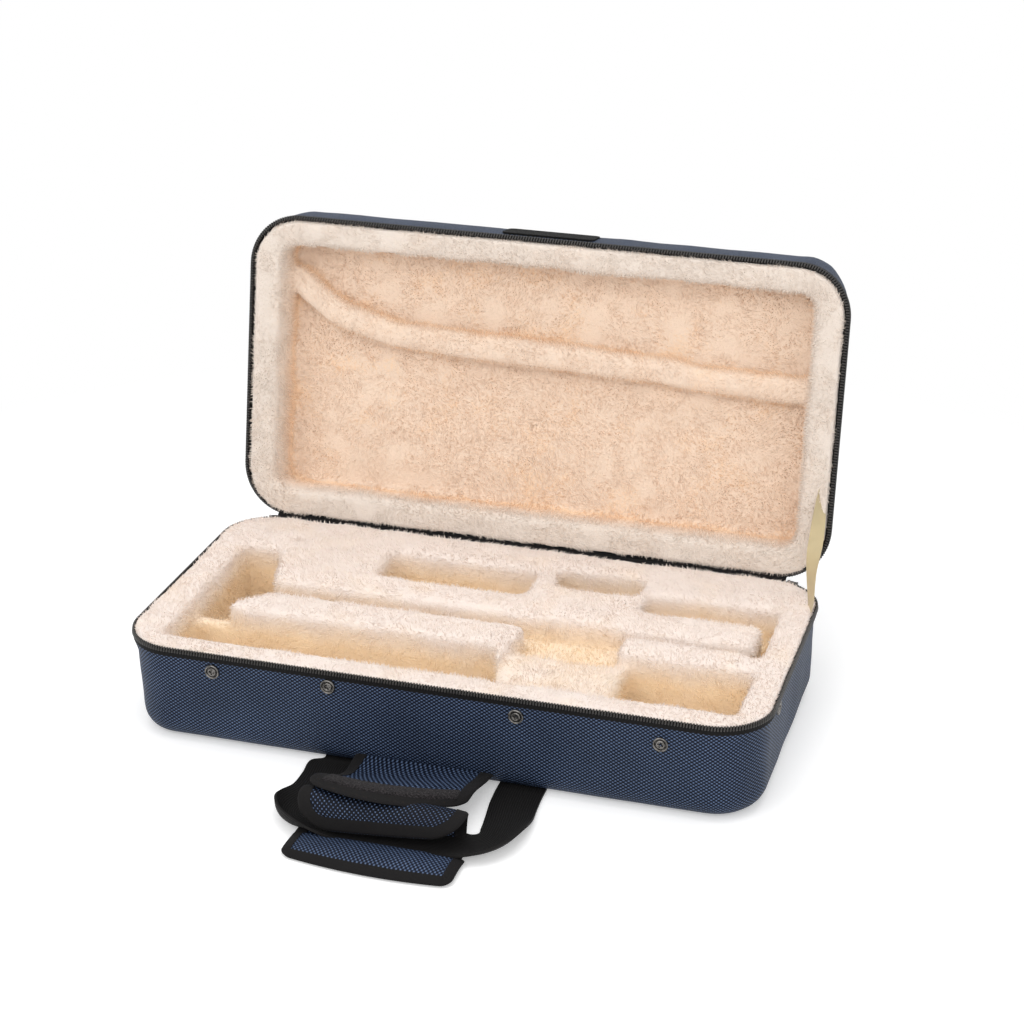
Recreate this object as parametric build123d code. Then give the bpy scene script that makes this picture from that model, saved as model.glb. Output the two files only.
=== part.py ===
from build123d import *
import os

# Zipped soft trumpet case with a carved, plush-lined bed, built as its separate pieces.
# Millimetres. The origin is the middle of the base's underside, +X runs along the length,
# +Y towards the hinge side and +Z up. The lid is modelled open, held by its stay ribbon,
# and the carrying loop and the closure tab lie on the bench in front of the case.

# ---- case ----
case_length = 560.0
case_width = 284.0
base_height = 89.0  # bench to the parting plane
lid_height = 60.0  # parting plane to the top of the closed lid
corner_radius = 47.0
edge_rounding = 20.0
open_angle = 100.0
cover_thickness = 1.2
base_wall = 6.0
lid_wall = 5.0
lining_thickness = 4.0
parting_gap = 0.4  # rim surfaces to the parting plane
hinge_outset = 1.0  # hinge line behind the back wall

# ---- zip fastener ----
tape_height = 7.2
coil_height = 1.6
coil_outset = 0.6
slider_length = 9.0
slider_height = 7.0
slider_depth = 4.0
slider_park_angle = 18.0  # past the start of the back corner
running_gap = 0.3
pull_length = 25.0
pull_width = 6.0
pull_thickness = 1.2
pull_rounding = 2.4
pull_boss_wall = 0.9
pull_window_width = 2.4
pull_window_top = 8.8  # below the pin
pull_window_bottom = 20.0  # below the pin
slider_chamfer = 1.6
pin_radius = 0.6
pin_outset = 1.8  # pin to the slider's outer face, and below its top
bail_gap = 1.2
ear_thickness = 1.2
ear_length = 3.2
ear_height = 3.8
ear_drop = 0.4  # ear's top below the slider's top

# ---- cover screws ----
screws_front = ((-191.0, 17.0), (-87.0, 15.0), (76.0, 17.0), (197.0, 23.0))  # x, depth below rim
screw_end = (-68.0, 15.0)  # y, depth below rim
washer_radius = 6.5
washer_height = 1.6
washer_rounding = 0.96
head_radius = 4.2
head_height = 1.8
head_proud = 0.3
shank_radius = 1.7
shank_length = 16.0
recess_width = 1.1
recess_length = 4.6
recess_depth = 1.2
hole_clearance = 0.05

# ---- lined bed of the base: bands, and the lines between its wells ----
rim_band_left = 30.0
rim_band_right = 27.0
rim_band_front = 26.0
rim_band_rear = 32.0
well_rounding = 3.6
foam_floor_top = 20.0
deep_floor = 27.0
bell_well_end = 32.0
bell_well_flare = 20.0
ridge_front = -52.0
ridge_back = -12.0
ridge_inset = 36.0  # ridge's left end to the left band
ridge_notch = 9.0  # slide well's front corner, back from the ridge's front
slide_well_back = 75.0
slide_well_front_width = 60.0
slide_well_back_width = 37.0
link_floor = 66.0
link_front_reach = 13.5  # from the ridge's front
link_back_reach = 18.0  # from the ridge's front
channel_floor = 61.0
channel_back = 9.0
narrow_left = 133.0
narrow_back = 4.0
narrow_front = -6.0
valve_well_left = 45.0
valve_well_front = -44.0
saddle_floor = 74.0
saddle_left = 40.0
saddle_overlap = 9.0  # saddle's shallow floor into the wells beside it
accessory_floor = 35.0
accessory_left = 142.0
accessory_back = -37.0
rear_well_floor = 44.0
rear_well_left = -115.0
rear_well_right = 28.0
rear_well_front = 47.0
rear_well_margin = 10.0  # to the rear band
mute_floor = 40.0
mute_left = 40.0
mute_right = 124.0
mute_front = 73.0
mute_slant = 8.0
side_well_floor = 50.0
side_well_left = 132.0
side_well_back = 82.0
side_well_front = 45.0
groove_width = 12.0  # round the tongue's end, beside the right band
dimples = ((44.0, 11.0), (92.0, 17.0))  # from the left band and from the rear band
dimple_radius = 4.5
dimple_depth = 14.0

# ---- lined hollow of the lid ----
lid_band = 30.0
lid_band_front = 26.0
lid_hollow_depth = 42.0
lid_hollow_corner = 14.0
lid_ridge_line = (  # from the left band, and y
    (8.0, -80.0), (50.0, -50.0), (107.0, -36.0), (270.0, -31.0), (360.0, -29.0), (410.0, -24.0),
)
lid_ridge_radius = 60.0
lid_ridge_width = 23.0
lid_ridge_rise = 20.0

# ---- stay ribbon, hinge tape and loop patch ----
ribbon_width = 13.0
ribbon_thickness = 0.6
ribbon_inset = 8.5  # middle of the ribbon to the outer face of the end wall
ribbon_base_y = 80.0
ribbon_lid_y = 59.0
patch_width = 86.0
patch_height = 30.0
patch_thickness = 1.8
patch_centre_x = 1.0
patch_above_rim = 10.0
patch_corner = 6.0

# ---- carrying loop; reaches are measured out from the front wall ----
webbing_width = 40.0
webbing_thickness = 2.0
loop_hinge_reach = 4.0
left_leg_x = -104.0  # outer edge
right_leg_x = 100.0  # outer edge
anchor_gap = 0.5
anchor_pressed = 0.15  # anchors are thinner than the free webbing by this
leg_reach = 80.0
cross_front_reach = 120.0
cross_back_reach = 89.0
cross_inset = 16.0  # cross strip's ends in from the legs' outer edges
cross_gap = 0.3  # cross strip above the grip panel
fold_height_left = 16.0
fold_height_right = 8.0
fold_bulge = 2.0
fold_bulge_reach = 12.0  # past the leg's end
fold_taper = 14.0
fold_end_margin = 4.0
fold_clearance = 1.0

# ---- grip wrapped on the loop ----
grip_left = -74.0
grip_right = 70.0
grip_thickness = 3.4
grip_binding = 10.0
grip_binding_proud = 0.4
grip_floor = 0.6
roll_back_reach = 81.0
roll_top = 37.4
roll_front_reach = 120.0
roll_edge_z = 15.0
roll_lean = 3.0  # the rear flap's face leans out by this from its top to its free edge
roll_radius = 9.0
roll_flat_height = 10.5  # mesh of the part under the webbing, without binding, is below this
grip_hook_inset = 2.0
grip_hook_height = 12.0
flap_corner = 22.0
flap_trim = 1.0
front_flap_hinge_reach = 122.0
front_flap_reach = 164.0
front_flap_rise = 5.0
front_flap_rounding = 7.5

# ---- closure tab ----
tab_left = -66.0
tab_right = 55.0
tab_root_z = 12.0
tab_hinge_outset = 2.4
tab_thickness = 2.4
tab_binding = 10.0
tab_tip_left = (-70.0, 84.0, 42.0)  # x, reach, z
tab_tip_right = (54.0, 58.0, 24.0)  # x, reach, z
tab_tip_length = 20.0
hook_strip_width = 16.0
hook_strip_thickness = 1.0

half_length = case_length / 2
half_width = case_width / 2
left_in = -half_length + rim_band_left
right_in = half_length - rim_band_right
front_in = -half_width + rim_band_front
rear_in = half_width - rim_band_rear
hinge_axis = Axis((0, half_width + hinge_outset, base_height), (1, 0, 0))
corner_x = half_length - corner_radius
corner_y = half_width - corner_radius
far = 2 * case_length  # past every piece
loop_hinge_y = -half_width - loop_hinge_reach
leg_end_y = -half_width - leg_reach
cross_front_y = -half_width - cross_front_reach
cross_back_y = -half_width - cross_back_reach
roll_back_y = -half_width - roll_back_reach
roll_front_y = -half_width - roll_front_reach
front_flap_hinge_y = -half_width - front_flap_hinge_reach
front_flap_edge_y = -half_width - front_flap_reach


# ---------------------------------------------------------------- helpers
def box(low, high):
    """Block between two opposite corners."""
    size = [b - a for a, b in zip(low, high)]
    middle = [(a + b) / 2 for a, b in zip(low, high)]
    return Pos(*middle) * Box(*size)


def prism(points, low, high, rounding=0.0, growth=0.0):
    """Upright prism on a polygon with rounded corners, its outline grown by growth."""
    face = make_face(Polyline(*points, close=True))
    if rounding:
        face = fillet(face.vertices(), rounding)
    if growth:
        face = offset(face, growth, kind=Kind.ARC)
    return extrude(Plane.XY.offset(low) * face, high - low)


def tub(inset, top):
    """Solid inside the outer skin by inset: rounded plan, lower edge rounded, flat top."""
    plan = RectangleRounded(
        case_length - 2 * inset, case_width - 2 * inset, corner_radius - inset
    )
    block = extrude(Plane.XY.offset(inset) * plan, top - inset)
    return fillet(block.faces().sort_by(Axis.Z)[0].edges(), edge_rounding - inset)


def ring(outset, depth, low, high):
    """Upright band round the case plan, from outset outside the skin to depth inside it."""
    outer = RectangleRounded(
        case_length + 2 * outset, case_width + 2 * outset, corner_radius + outset
    )
    inner = RectangleRounded(
        case_length - 2 * depth, case_width - 2 * depth, corner_radius - depth
    )
    return extrude(Plane.XY.offset(low) * (outer - inner), high - low)


def as_lid(shape):
    """Turns a tray drawn rim-up into the lid and opens it about the hinge line."""
    closed = Pos(0, 0, base_height + lid_height) * mirror(shape, Plane.XY)
    return opened(closed)


def opened(shape):
    """Turns a shape from its place on the closed lid to the open lid."""
    return shape.rotate(hinge_axis, -open_angle)


def ribbon_prism(points, radius, thickness, low_x, high_x):
    """Bent sheet: a rounded path in the YZ plane, given thickness and drawn out along X."""
    path = FilletPolyline(*[(0, y, z) for y, z in points], radius=radius)
    face = make_face(offset(path, thickness / 2, side=Side.BOTH).edges())
    solid = extrude(face, high_x - low_x, dir=(1, 0, 0))
    return Pos(low_x, 0, 0) * solid


def write(node, shape):
    """Writes one node's STEP file."""
    export_step(shape, f"parts/{node}.step")


# ---------------------------------------------------------------- covers, shells and zip
def bottom_panel(thickness):
    """Flat sewn panel inside the rounded edge."""
    plan = RectangleRounded(
        case_length - 2 * edge_rounding,
        case_width - 2 * edge_rounding,
        corner_radius - edge_rounding,
    )
    return extrude(plan, thickness)


def side_cover(height):
    """Woven band from the flat panel's seam up to the zip tape."""
    top = height - tape_height - coil_height
    band = tub(0, top) - tub(cover_thickness, top + 1)
    return band - bottom_panel(2 * cover_thickness)


def shell(height, wall):
    """Stiff tray inside the cover, open at the rim."""
    top = height - parting_gap - lining_thickness
    return tub(cover_thickness, top) - tub(cover_thickness + wall, top + 1)


def shell_boards(height, wall):
    """Boards that a tray is glued up from: flat panel, front, rear and two rounded ends."""
    tray = shell(height, wall)
    panel = tray & bottom_panel(cover_thickness + wall)
    band = tray - panel
    return {
        "panel": panel,
        "front": band & box((-corner_x, -far, 0), (corner_x, 0, far)),
        "rear": band & box((-corner_x, 0, 0), (corner_x, far, far)),
        "left_end": band & box((-far, -far, 0), (-corner_x, far, far)),
        "right_end": band & box((corner_x, -far, 0), (far, far, far)),
    }


def back_gap(low, high):
    """Space of the hinge on the back wall, between the two ends of the zip."""
    return box((-corner_x, 0, low), (corner_x, case_width, high))


def zip_tape(height):
    """Tape that carries the coil, open along the hinge."""
    low = height - tape_height - coil_height
    band = ring(0, cover_thickness, low, height - coil_height)
    return band - back_gap(low - 1, height)


def zip_coil(height):
    """One row of the coil, as a plain band of its outer size."""
    low = height - coil_height
    band = ring(coil_outset, cover_thickness, low, height - running_gap / 2)
    return band - back_gap(low - 1, height)


def hinge_tape():
    """Fabric hinge: a strip on each back wall, joined behind the parting plane."""
    length = 2 * corner_x
    strip_top = base_height - parting_gap
    low = base_height - tape_height - coil_height
    inner = half_width - cover_thickness
    base_strip = box((-corner_x, inner, low), (corner_x, half_width, strip_top))
    closed_lid_strip = box(
        (-corner_x, inner, base_height + parting_gap),
        (corner_x, half_width, base_height + tape_height + coil_height),
    )
    lid_strip = opened(closed_lid_strip)
    end_face = lid_strip.faces().sort_by(Axis.Y)[0]
    lower, upper = end_face.vertices().group_by(Axis.X)[0].sort_by(Axis.Z)
    bridge = make_face(
        Polyline(
            (0, inner, strip_top - cover_thickness),
            (0, half_width, strip_top - cover_thickness),
            (0, lower.Y, lower.Z),
            (0, upper.Y, upper.Z),
            (0, inner, strip_top),
            close=True,
        )
    )
    link = Pos(-corner_x, 0, 0) * extrude(bridge, length, dir=(1, 0, 0))
    return base_strip + link + lid_strip


# ---------------------------------------------------------------- lined bed of the base
def well_outlines():
    """Each well of the bed as its floor height and its corner points."""
    flare_x = bell_well_end + bell_well_flare
    ridge_left = left_in + ridge_inset
    notch_y = ridge_front + ridge_notch
    slide_right = left_in + slide_well_back_width
    link_front, link_back = ridge_front - link_front_reach, ridge_front + link_back_reach
    groove_left = right_in - groove_width
    saddle_back = valve_well_front + saddle_overlap
    saddle_right = accessory_left + saddle_overlap
    rear_well_back = rear_in - rear_well_margin
    return {
        "bell": (deep_floor, [
            (left_in, front_in), (flare_x, front_in), (bell_well_end, ridge_front),
            (left_in, ridge_front),
        ]),
        "slide": (deep_floor, [
            (left_in, slide_well_back), (left_in, notch_y), (ridge_left, notch_y),
            (left_in + slide_well_front_width, ridge_back), (slide_right, slide_well_back),
        ]),
        "link": (link_floor, [
            (left_in, link_front), (ridge_left, link_front), (ridge_left, link_back),
            (left_in, link_back),
        ]),
        "channel": (channel_floor, [
            (slide_right, channel_back), (slide_right, ridge_back), (narrow_left, ridge_back),
            (narrow_left, channel_back),
        ]),
        "narrow": (channel_floor, [
            (narrow_left - saddle_overlap, narrow_back), (narrow_left - saddle_overlap, narrow_front),
            (groove_left + saddle_overlap, narrow_front), (groove_left + saddle_overlap, narrow_back),
        ]),
        "valve": (channel_floor, [
            (valve_well_left, channel_back), (valve_well_left, valve_well_front),
            (narrow_left, valve_well_front), (narrow_left, channel_back),
        ]),
        "saddle": (saddle_floor, [
            (saddle_left, saddle_back), (saddle_left, front_in), (saddle_right, front_in),
            (saddle_right, saddle_back),
        ]),
        "accessory": (accessory_floor, [
            (accessory_left, accessory_back), (accessory_left, front_in), (right_in, front_in),
            (right_in, accessory_back),
        ]),
        "rear": (rear_well_floor, [
            (rear_well_left, rear_well_back), (rear_well_left, rear_well_front),
            (rear_well_right, rear_well_front), (rear_well_right, rear_well_back),
        ]),
        "mute": (mute_floor, [
            (mute_left, rear_in), (mute_left + mute_slant, mute_front), (mute_right, mute_front),
            (mute_right, rear_in),
        ]),
        "side": (side_well_floor, [
            (side_well_left, side_well_back), (side_well_left, side_well_front),
            (groove_left, side_well_front), (groove_left, ridge_back), (right_in, ridge_back),
            (right_in, side_well_back),
        ]),
    }


def wells(growth):
    """All wells as one cutter; growth widens and deepens it by the lining."""
    top = base_height + 1
    cutters = []
    for floor, points in well_outlines().values():
        cutters.append(prism(points, floor - growth, top, well_rounding, growth))
    dimple_floor = base_height - dimple_depth - growth
    for from_left, from_rear in dimples:
        cutter = extrude(Plane.XY.offset(dimple_floor) * Circle(dimple_radius + growth), top - dimple_floor)
        cutters.append(Pos(left_in + from_left, rear_in - from_rear, 0) * cutter)
    joined = cutters[0]
    for cutter in cutters[1:]:
        joined = joined + cutter
    return joined


def bed_lining(cut, grown):
    """Plush skin: a sheet over the rim and the blocks, and the walls and floors of the wells."""
    top = base_height - parting_gap
    sheet = tub(cover_thickness, top) - tub(cover_thickness, top - lining_thickness)
    inside = tub(cover_thickness + base_wall, top)
    return sheet + (grown & inside) - cut


def foam_cells():
    """Plan boxes that divide the carved foam into its glued blocks."""
    grow = lining_thickness
    left = left_in - grow
    right = right_in + grow
    front = front_in - grow
    rear = rear_in + grow + 1
    bed_right = accessory_left - grow
    return {
        "foam_front_rail": ((-far, -far), (far, front)),
        "foam_left_rail": ((-far, front), (left, far)),
        "foam_right_rail": ((right, front), (far, far)),
        "foam_rear_rail": ((left, rear), (right, far)),
        "foam_bell_ridge": ((left, front), (saddle_left - grow, ridge_back + grow)),
        "foam_valve_saddle": ((saddle_left - grow, front), (bed_right, ridge_back + grow)),
        "foam_accessory_ridge": ((bed_right, front), (right, ridge_back + grow)),
        "foam_centre_tongue": ((rear_well_left - grow, ridge_back + grow), (right, rear_well_front)),
        "foam_rear_left_block": ((left, ridge_back + grow), (rear_well_left - grow, rear)),
        "foam_rear_dividers": ((rear_well_left - grow, rear_well_front), (right, rear)),
    }


# ---------------------------------------------------------------- lid inside
def lid_hollow(growth):
    """Hollow of the lid, drawn rim-up; growth widens and deepens it by the lining."""
    floor = lid_height - lid_hollow_depth
    points = [
        (-half_length + lid_band, -half_width + lid_band_front),
        (half_length - lid_band, -half_width + lid_band_front),
        (half_length - lid_band, half_width - lid_band_front),
        (-half_length + lid_band, half_width - lid_band_front),
    ]
    return prism(points, floor - growth, lid_height + 1, lid_hollow_corner, growth)


def lid_ridge(growth):
    """Long padded ridge on the lid's floor; a negative growth gives its foam core."""
    start = -half_length + lid_band
    floor = lid_height - lid_hollow_depth - lining_thickness
    rise = lid_ridge_rise + lining_thickness + growth
    end = (half_length - lid_band, lid_ridge_line[-1][1])
    points = [(start + along, y) for along, y in lid_ridge_line]
    path = FilletPolyline(*points, end, radius=lid_ridge_radius)
    face = make_face(offset(path, lid_ridge_width / 2 + growth, side=Side.BOTH).edges())
    return extrude(Plane.XY.offset(floor) * face, rise)


def lid_inside():
    """Foam pad, ridge core and plush lining of the lid, drawn rim-up."""
    top = lid_height - parting_gap
    inset = cover_thickness + lid_wall
    hollow, grown = lid_hollow(0), lid_hollow(lining_thickness)
    foam = tub(inset, top - lining_thickness) - grown
    core = lid_ridge(-lining_thickness) & grown
    sheet = tub(cover_thickness, top) - tub(cover_thickness, top - lining_thickness)
    skin = (grown & tub(inset, top)) - hollow
    cover = lid_ridge(0) & grown
    return foam, core, sheet - grown + skin + cover - core


# ---------------------------------------------------------------- screws
def screw():
    """Countersunk cross-recess screw along +Z, the seat of its cup washer at z = 0."""
    top = washer_height + head_proud
    head = Pos(0, 0, top - head_height / 2) * Cone(shank_radius, head_radius, head_height)
    shank = Pos(0, 0, top - head_height - shank_length / 2) * Cylinder(shank_radius, shank_length)
    slot = Pos(0, 0, top) * Box(recess_length, recess_width, 2 * recess_depth)
    return head + shank - slot - slot.rotate(Axis.Z, 90)


def washer():
    """Cup finishing washer along +Z, sitting on z = 0."""
    body = Pos(0, 0, washer_height / 2) * Cylinder(washer_radius, washer_height)
    body = fillet(body.faces().sort_by(Axis.Z)[-1].edges(), washer_rounding)
    top = washer_height + head_proud
    seat_radius = head_radius + hole_clearance
    seat = Pos(0, 0, top - head_height / 2) * Cone(shank_radius + hole_clearance, seat_radius, head_height)
    return body - seat - Cylinder(shank_radius + hole_clearance, 4 * washer_height)


def screw_places():
    """Placements of the screws: +Z of each points out of its wall."""
    front = [Pos(x, -half_width, base_height - drop) * Rot(90, 0, 0) for x, drop in screws_front]
    y, drop = screw_end
    return front + [Pos(half_length, y, base_height - drop) * Rot(0, 90, 0)]


def screw_holes():
    """Clearance holes of the screws through the wall."""
    hole = Pos(0, 0, -shank_length / 2) * Cylinder(shank_radius + hole_clearance, shank_length + 2)
    return Compound([place * hole for place in screw_places()])


# ---------------------------------------------------------------- sliders and pulls
def slider():
    """Slider body on the back corner before parking, with the two ears of its bail."""
    near = half_width + coil_outset + running_gap
    top = base_height - coil_height - running_gap
    face = near + slider_depth
    shape = box((-slider_length / 2, near, top - slider_height), (slider_length / 2, face, top))
    shape = chamfer(shape.edges().filter_by(Axis.Y), slider_chamfer)
    ear_top = top - ear_drop
    for side in (-1, 1):
        x = side * (pull_width / 2 + bail_gap)
        low = (x - ear_thickness / 2, face, ear_top - ear_height)
        shape = shape + box(low, (x + ear_thickness / 2, face + ear_length, ear_top))
    return shape + at_pin(Cylinder(pin_radius, pull_width + 2 * bail_gap))


def at_pin(shape):
    """Carries a cylinder to the pin of the slider's bail, along X."""
    y = half_width + coil_outset + running_gap + slider_depth + pin_outset
    z = base_height - coil_height - running_gap - pin_outset
    return Pos(0, y, z) * Rot(0, 90, 0) * shape


def pull():
    """Pull tab that hangs from the pin, with an eye and a rounded end."""
    pin = at_pin(Cylinder(pin_radius, pull_width)).center()
    half, side = pull_width / 2, pull_thickness / 2
    blade = box((-half, pin.Y - side, pin.Z - pull_length), (half, pin.Y + side, pin.Z))
    blade = fillet(blade.edges().filter_by(Axis.Y).group_by(Axis.Z)[0], pull_rounding)
    boss = at_pin(Cylinder(pin_radius + pull_boss_wall, pull_width))
    bore = at_pin(Cylinder(pin_radius + hole_clearance, 2 * pull_width))
    window = box(
        (-pull_window_width / 2, pin.Y - pull_thickness, pin.Z - pull_window_bottom),
        (pull_window_width / 2, pin.Y + pull_thickness, pin.Z - pull_window_top),
    )
    return blade + boss - bore - window


def parked(shape, side):
    """Carries a slider part to the left (-1) or right (+1) back corner and turns it to its park."""
    placed = Pos(side * corner_x, 0, 0) * shape
    corner = Axis((side * corner_x, corner_y, 0), (0, 0, 1))
    return placed.rotate(corner, -side * slider_park_angle)


# ---------------------------------------------------------------- ribbon, patch
def stay_ribbon():
    """Ribbon drawn straight between its two anchors, its width along X."""
    x = half_length - ribbon_inset
    clearance = parting_gap - running_gap
    start = Vector(x, ribbon_base_y, base_height - clearance)
    hinge = hinge_axis.position
    closed_end = Vector(x, ribbon_lid_y, base_height + clearance)
    end = (closed_end - hinge).rotate(hinge_axis, -open_angle) + hinge
    run = end - start
    plane = Plane(origin=(start + end) * 0.5, x_dir=(1, 0, 0), z_dir=run)
    return plane * Box(ribbon_width, ribbon_thickness, run.length - 2 * running_gap)


def loop_patch():
    """Loop-pile patch on the lid's front wall."""
    low = base_height + patch_above_rim
    patch = box(
        (patch_centre_x - patch_width / 2, -half_width - patch_thickness, low),
        (patch_centre_x + patch_width / 2, -half_width, low + patch_height),
    )
    patch = fillet(patch.edges().filter_by(Axis.Y), patch_corner)
    return opened(patch)


# ---------------------------------------------------------------- carrying loop
def leg_span(outer):
    """Low and high x of a leg from its outer edge."""
    inner = outer - webbing_width if outer > 0 else outer + webbing_width
    return min(outer, inner), max(outer, inner)


def wall_outset(z):
    """Distance of the front wall from the middle, at a height within its lower rounding."""
    drop = edge_rounding - z
    return half_width - edge_rounding + (edge_rounding**2 - drop**2) ** 0.5


def loop_anchors():
    """Ends of the webbing that stay with the base, under its front edge."""
    thickness = webbing_thickness - anchor_pressed
    back = -wall_outset(thickness) - anchor_pressed
    strips = []
    for outer in (left_leg_x, right_leg_x):
        low, high = leg_span(outer)
        strips.append(box((low, loop_hinge_y + anchor_gap / 2, 0), (high, back, thickness)))
    return Compound(strips)


def folded_corner(outer, inner, height):
    """Folded corner of the webbing, from a leg's end to the cross strip."""
    side = 1 if outer > 0 else -1
    back = leg_end_y + webbing_thickness
    outline = [
        (outer, back), (outer + side * fold_bulge, leg_end_y - fold_bulge_reach),
        (outer - side * fold_taper, cross_front_y + fold_end_margin), (inner, cross_front_y),
        (inner, back),
    ]
    return prism(outline, 0, height)


def handle_webbing():
    """Moving part of the loop: two legs on the bench, a folded corner each, and the cross strip."""
    start = loop_hinge_y - anchor_gap / 2
    level = grip_floor + grip_thickness + cross_gap
    shape = box(
        (left_leg_x + cross_inset, cross_front_y, level),
        (right_leg_x - cross_inset, cross_back_y, level + webbing_thickness),
    )
    side_gap = grip_binding_proud + fold_clearance
    for outer, inner, height in (
        (left_leg_x, grip_left - side_gap, fold_height_left),
        (right_leg_x, grip_right + side_gap, fold_height_right),
    ):
        low, high = leg_span(outer)
        leg = box((low, leg_end_y, 0), (high, start, webbing_thickness))
        shape = shape + leg + folded_corner(outer, inner, height)
    return shape


# ---------------------------------------------------------------- grip
def roll_path():
    """Side view of the grip's rear flap: under the webbing, up behind it and over to the front."""
    low = grip_floor + grip_thickness / 2
    high = roll_top - grip_thickness / 2
    start = front_flap_hinge_y + grip_thickness / 2 + running_gap
    return [
        (start, low), (roll_back_y, low), (roll_back_y, high), (roll_front_y + roll_lean, high),
        (roll_front_y, roll_edge_z),
    ]


def rounded_flap(shape, left, right, low):
    """Rounds the two corners of the rear flap's free edge, seen from the front."""
    front_half = box((-far, -far, low), (far, (roll_front_y + roll_back_y) / 2, far))
    plan = RectangleRounded(right - left, 2 * far, flap_corner)
    window = Pos((left + right) / 2, 0, low + far) * Rot(90, 0, 0) * plan
    window = extrude(window, far, dir=(0, -1, 0), both=True)
    return (shape - front_half) + (shape & front_half & window)


def grip_rear():
    """Rear flap's padded field and its binding."""
    low, high = grip_left + grip_binding, grip_right - grip_binding
    edge = roll_edge_z - flap_trim
    whole = ribbon_prism(roll_path(), roll_radius, grip_thickness, grip_left, grip_right)
    whole = rounded_flap(whole, grip_left, grip_right, edge)
    field = ribbon_prism(roll_path(), roll_radius, grip_thickness * 2, low, high)
    field = rounded_flap(field, low, high, edge + grip_binding)
    middle = (roll_front_y + roll_back_y) / 2
    hem = box((-far, -far, -far), (far, middle, edge + grip_binding))
    under = box((-far, -far, -far), (far, far, roll_flat_height))
    keep = (field - hem) + (field & under)
    return whole & keep, whole - keep


def grip_hooks():
    """Hook strip under the rear flap's free edge."""
    low = roll_edge_z + grip_hook_inset
    lean = roll_lean * (grip_hook_inset + grip_hook_height) / (roll_top - roll_edge_z)
    y = roll_front_y + lean + grip_thickness / 2 + running_gap
    return box(
        (grip_left + 2 * grip_binding, y, low),
        (grip_right - 2 * grip_binding, y + hook_strip_thickness, low + grip_hook_height),
    )


def grip_front():
    """Front flap's padded field and its binding."""
    low, high = grip_left + grip_binding, grip_right - grip_binding
    back = front_flap_hinge_y - anchor_gap
    rise = grip_thickness + front_flap_rise
    block = box((grip_left, front_flap_edge_y, 0), (grip_right, back, rise))
    top_front = block.edges().filter_by(Axis.X).group_by(Axis.Z)[-1].sort_by(Axis.Y)[0]
    block = fillet(top_front, front_flap_rounding)
    field = box((low, front_flap_edge_y + grip_binding, -far), (high, far, far))
    return block & field, block - field


# ---------------------------------------------------------------- closure tab
def tab_corners(stretch):
    """Root pair and tip pair of the tab's lower face; stretch lengthens both sides alike."""
    root_y = -half_width - tab_hinge_outset - anchor_gap / 2
    root = [Vector(tab_left, root_y, tab_root_z), Vector(tab_right, root_y, tab_root_z)]
    tips = [Vector(x, -half_width - reach, z) for x, reach, z in (tab_tip_left, tab_tip_right)]
    return root, [a + (b - a) * (1 + stretch) for a, b in zip(root, tips)]


def section(pair, lift, thickness):
    """Upright rectangle on the line between two points, raised by lift."""
    a, b = pair
    low, high = Vector(0, 0, lift), Vector(0, 0, lift + thickness)
    return make_face(Polyline(a + low, b + low, b + high, a + high, close=True))


def tab_sheet(lift, thickness):
    """Whole tab as one ruled sheet, raised by lift."""
    run = tab_corners(0)[1][0] - tab_corners(0)[0][0]
    root, tips = tab_corners(tab_tip_length / run.length)
    return loft([section(root, lift, thickness), section(tips, lift, thickness)], ruled=True)


def tab_plan(margin, depth):
    """Upright prism over the tab, in from its sides and free edge by margin, depth long from there."""
    run = tab_corners(0)[1][0] - tab_corners(0)[0][0]
    root, tips = tab_corners((tab_tip_length - margin) / run.length)
    starts = tab_corners((tab_tip_length - margin - depth) / run.length)[1]
    if depth > run.length:
        starts = [point + Vector(0, 1, 0) for point in root]
    inward = Vector(margin, 0, 0)
    corners = [starts[0] + inward, starts[1] - inward, tips[1] - inward, tips[0] + inward]
    return prism([(corner.X, corner.Y) for corner in corners], -1, base_height)


def closure_tab():
    """Tab's woven field, its binding and the hook strip near its free edge."""
    whole = tab_sheet(0, tab_thickness)
    field = whole & tab_plan(tab_binding, case_width)
    lift = tab_thickness + hole_clearance
    hooks = tab_sheet(lift, hook_strip_thickness) & tab_plan(tab_binding, hook_strip_width)
    return field, whole - field, hooks


def tab_root():
    """Sewn root of the tab on the front wall."""
    top = tab_root_z + tab_thickness
    return box(
        (tab_left, -half_width - tab_hinge_outset + anchor_gap / 2, tab_root_z),
        (tab_right, -wall_outset(top) - hole_clearance, top),
    )


# ---------------------------------------------------------------- build
def build_base():
    """Pieces that stay with the base."""
    holes = screw_holes()
    write("base_bottom_panel", bottom_panel(cover_thickness))
    write("base_side_cover", side_cover(base_height) - holes)
    for name, board in shell_boards(base_height, base_wall).items():
        write(f"base_shell_{name}", board - holes)
    write("base_zip_tape", zip_tape(base_height))
    write("base_zip_coil", zip_coil(base_height))
    cut, grown = wells(0), wells(lining_thickness)
    write("base_lining", bed_lining(cut, grown))
    foam = tub(cover_thickness + base_wall, base_height - parting_gap - lining_thickness)
    foam = foam - grown - holes
    write("foam_floor", foam & box((-far, -far, 0), (far, far, foam_floor_top)))
    for node, (low, high) in foam_cells().items():
        write(node, foam & box((*low, foam_floor_top), (*high, base_height)))
    write("cover_screws", Compound([place * screw() for place in screw_places()]))
    write("cup_washers", Compound([place * washer() for place in screw_places()]))
    write("hinge_tape", hinge_tape())
    write("stay_ribbon", stay_ribbon())
    write("handle_anchors", loop_anchors())


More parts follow.
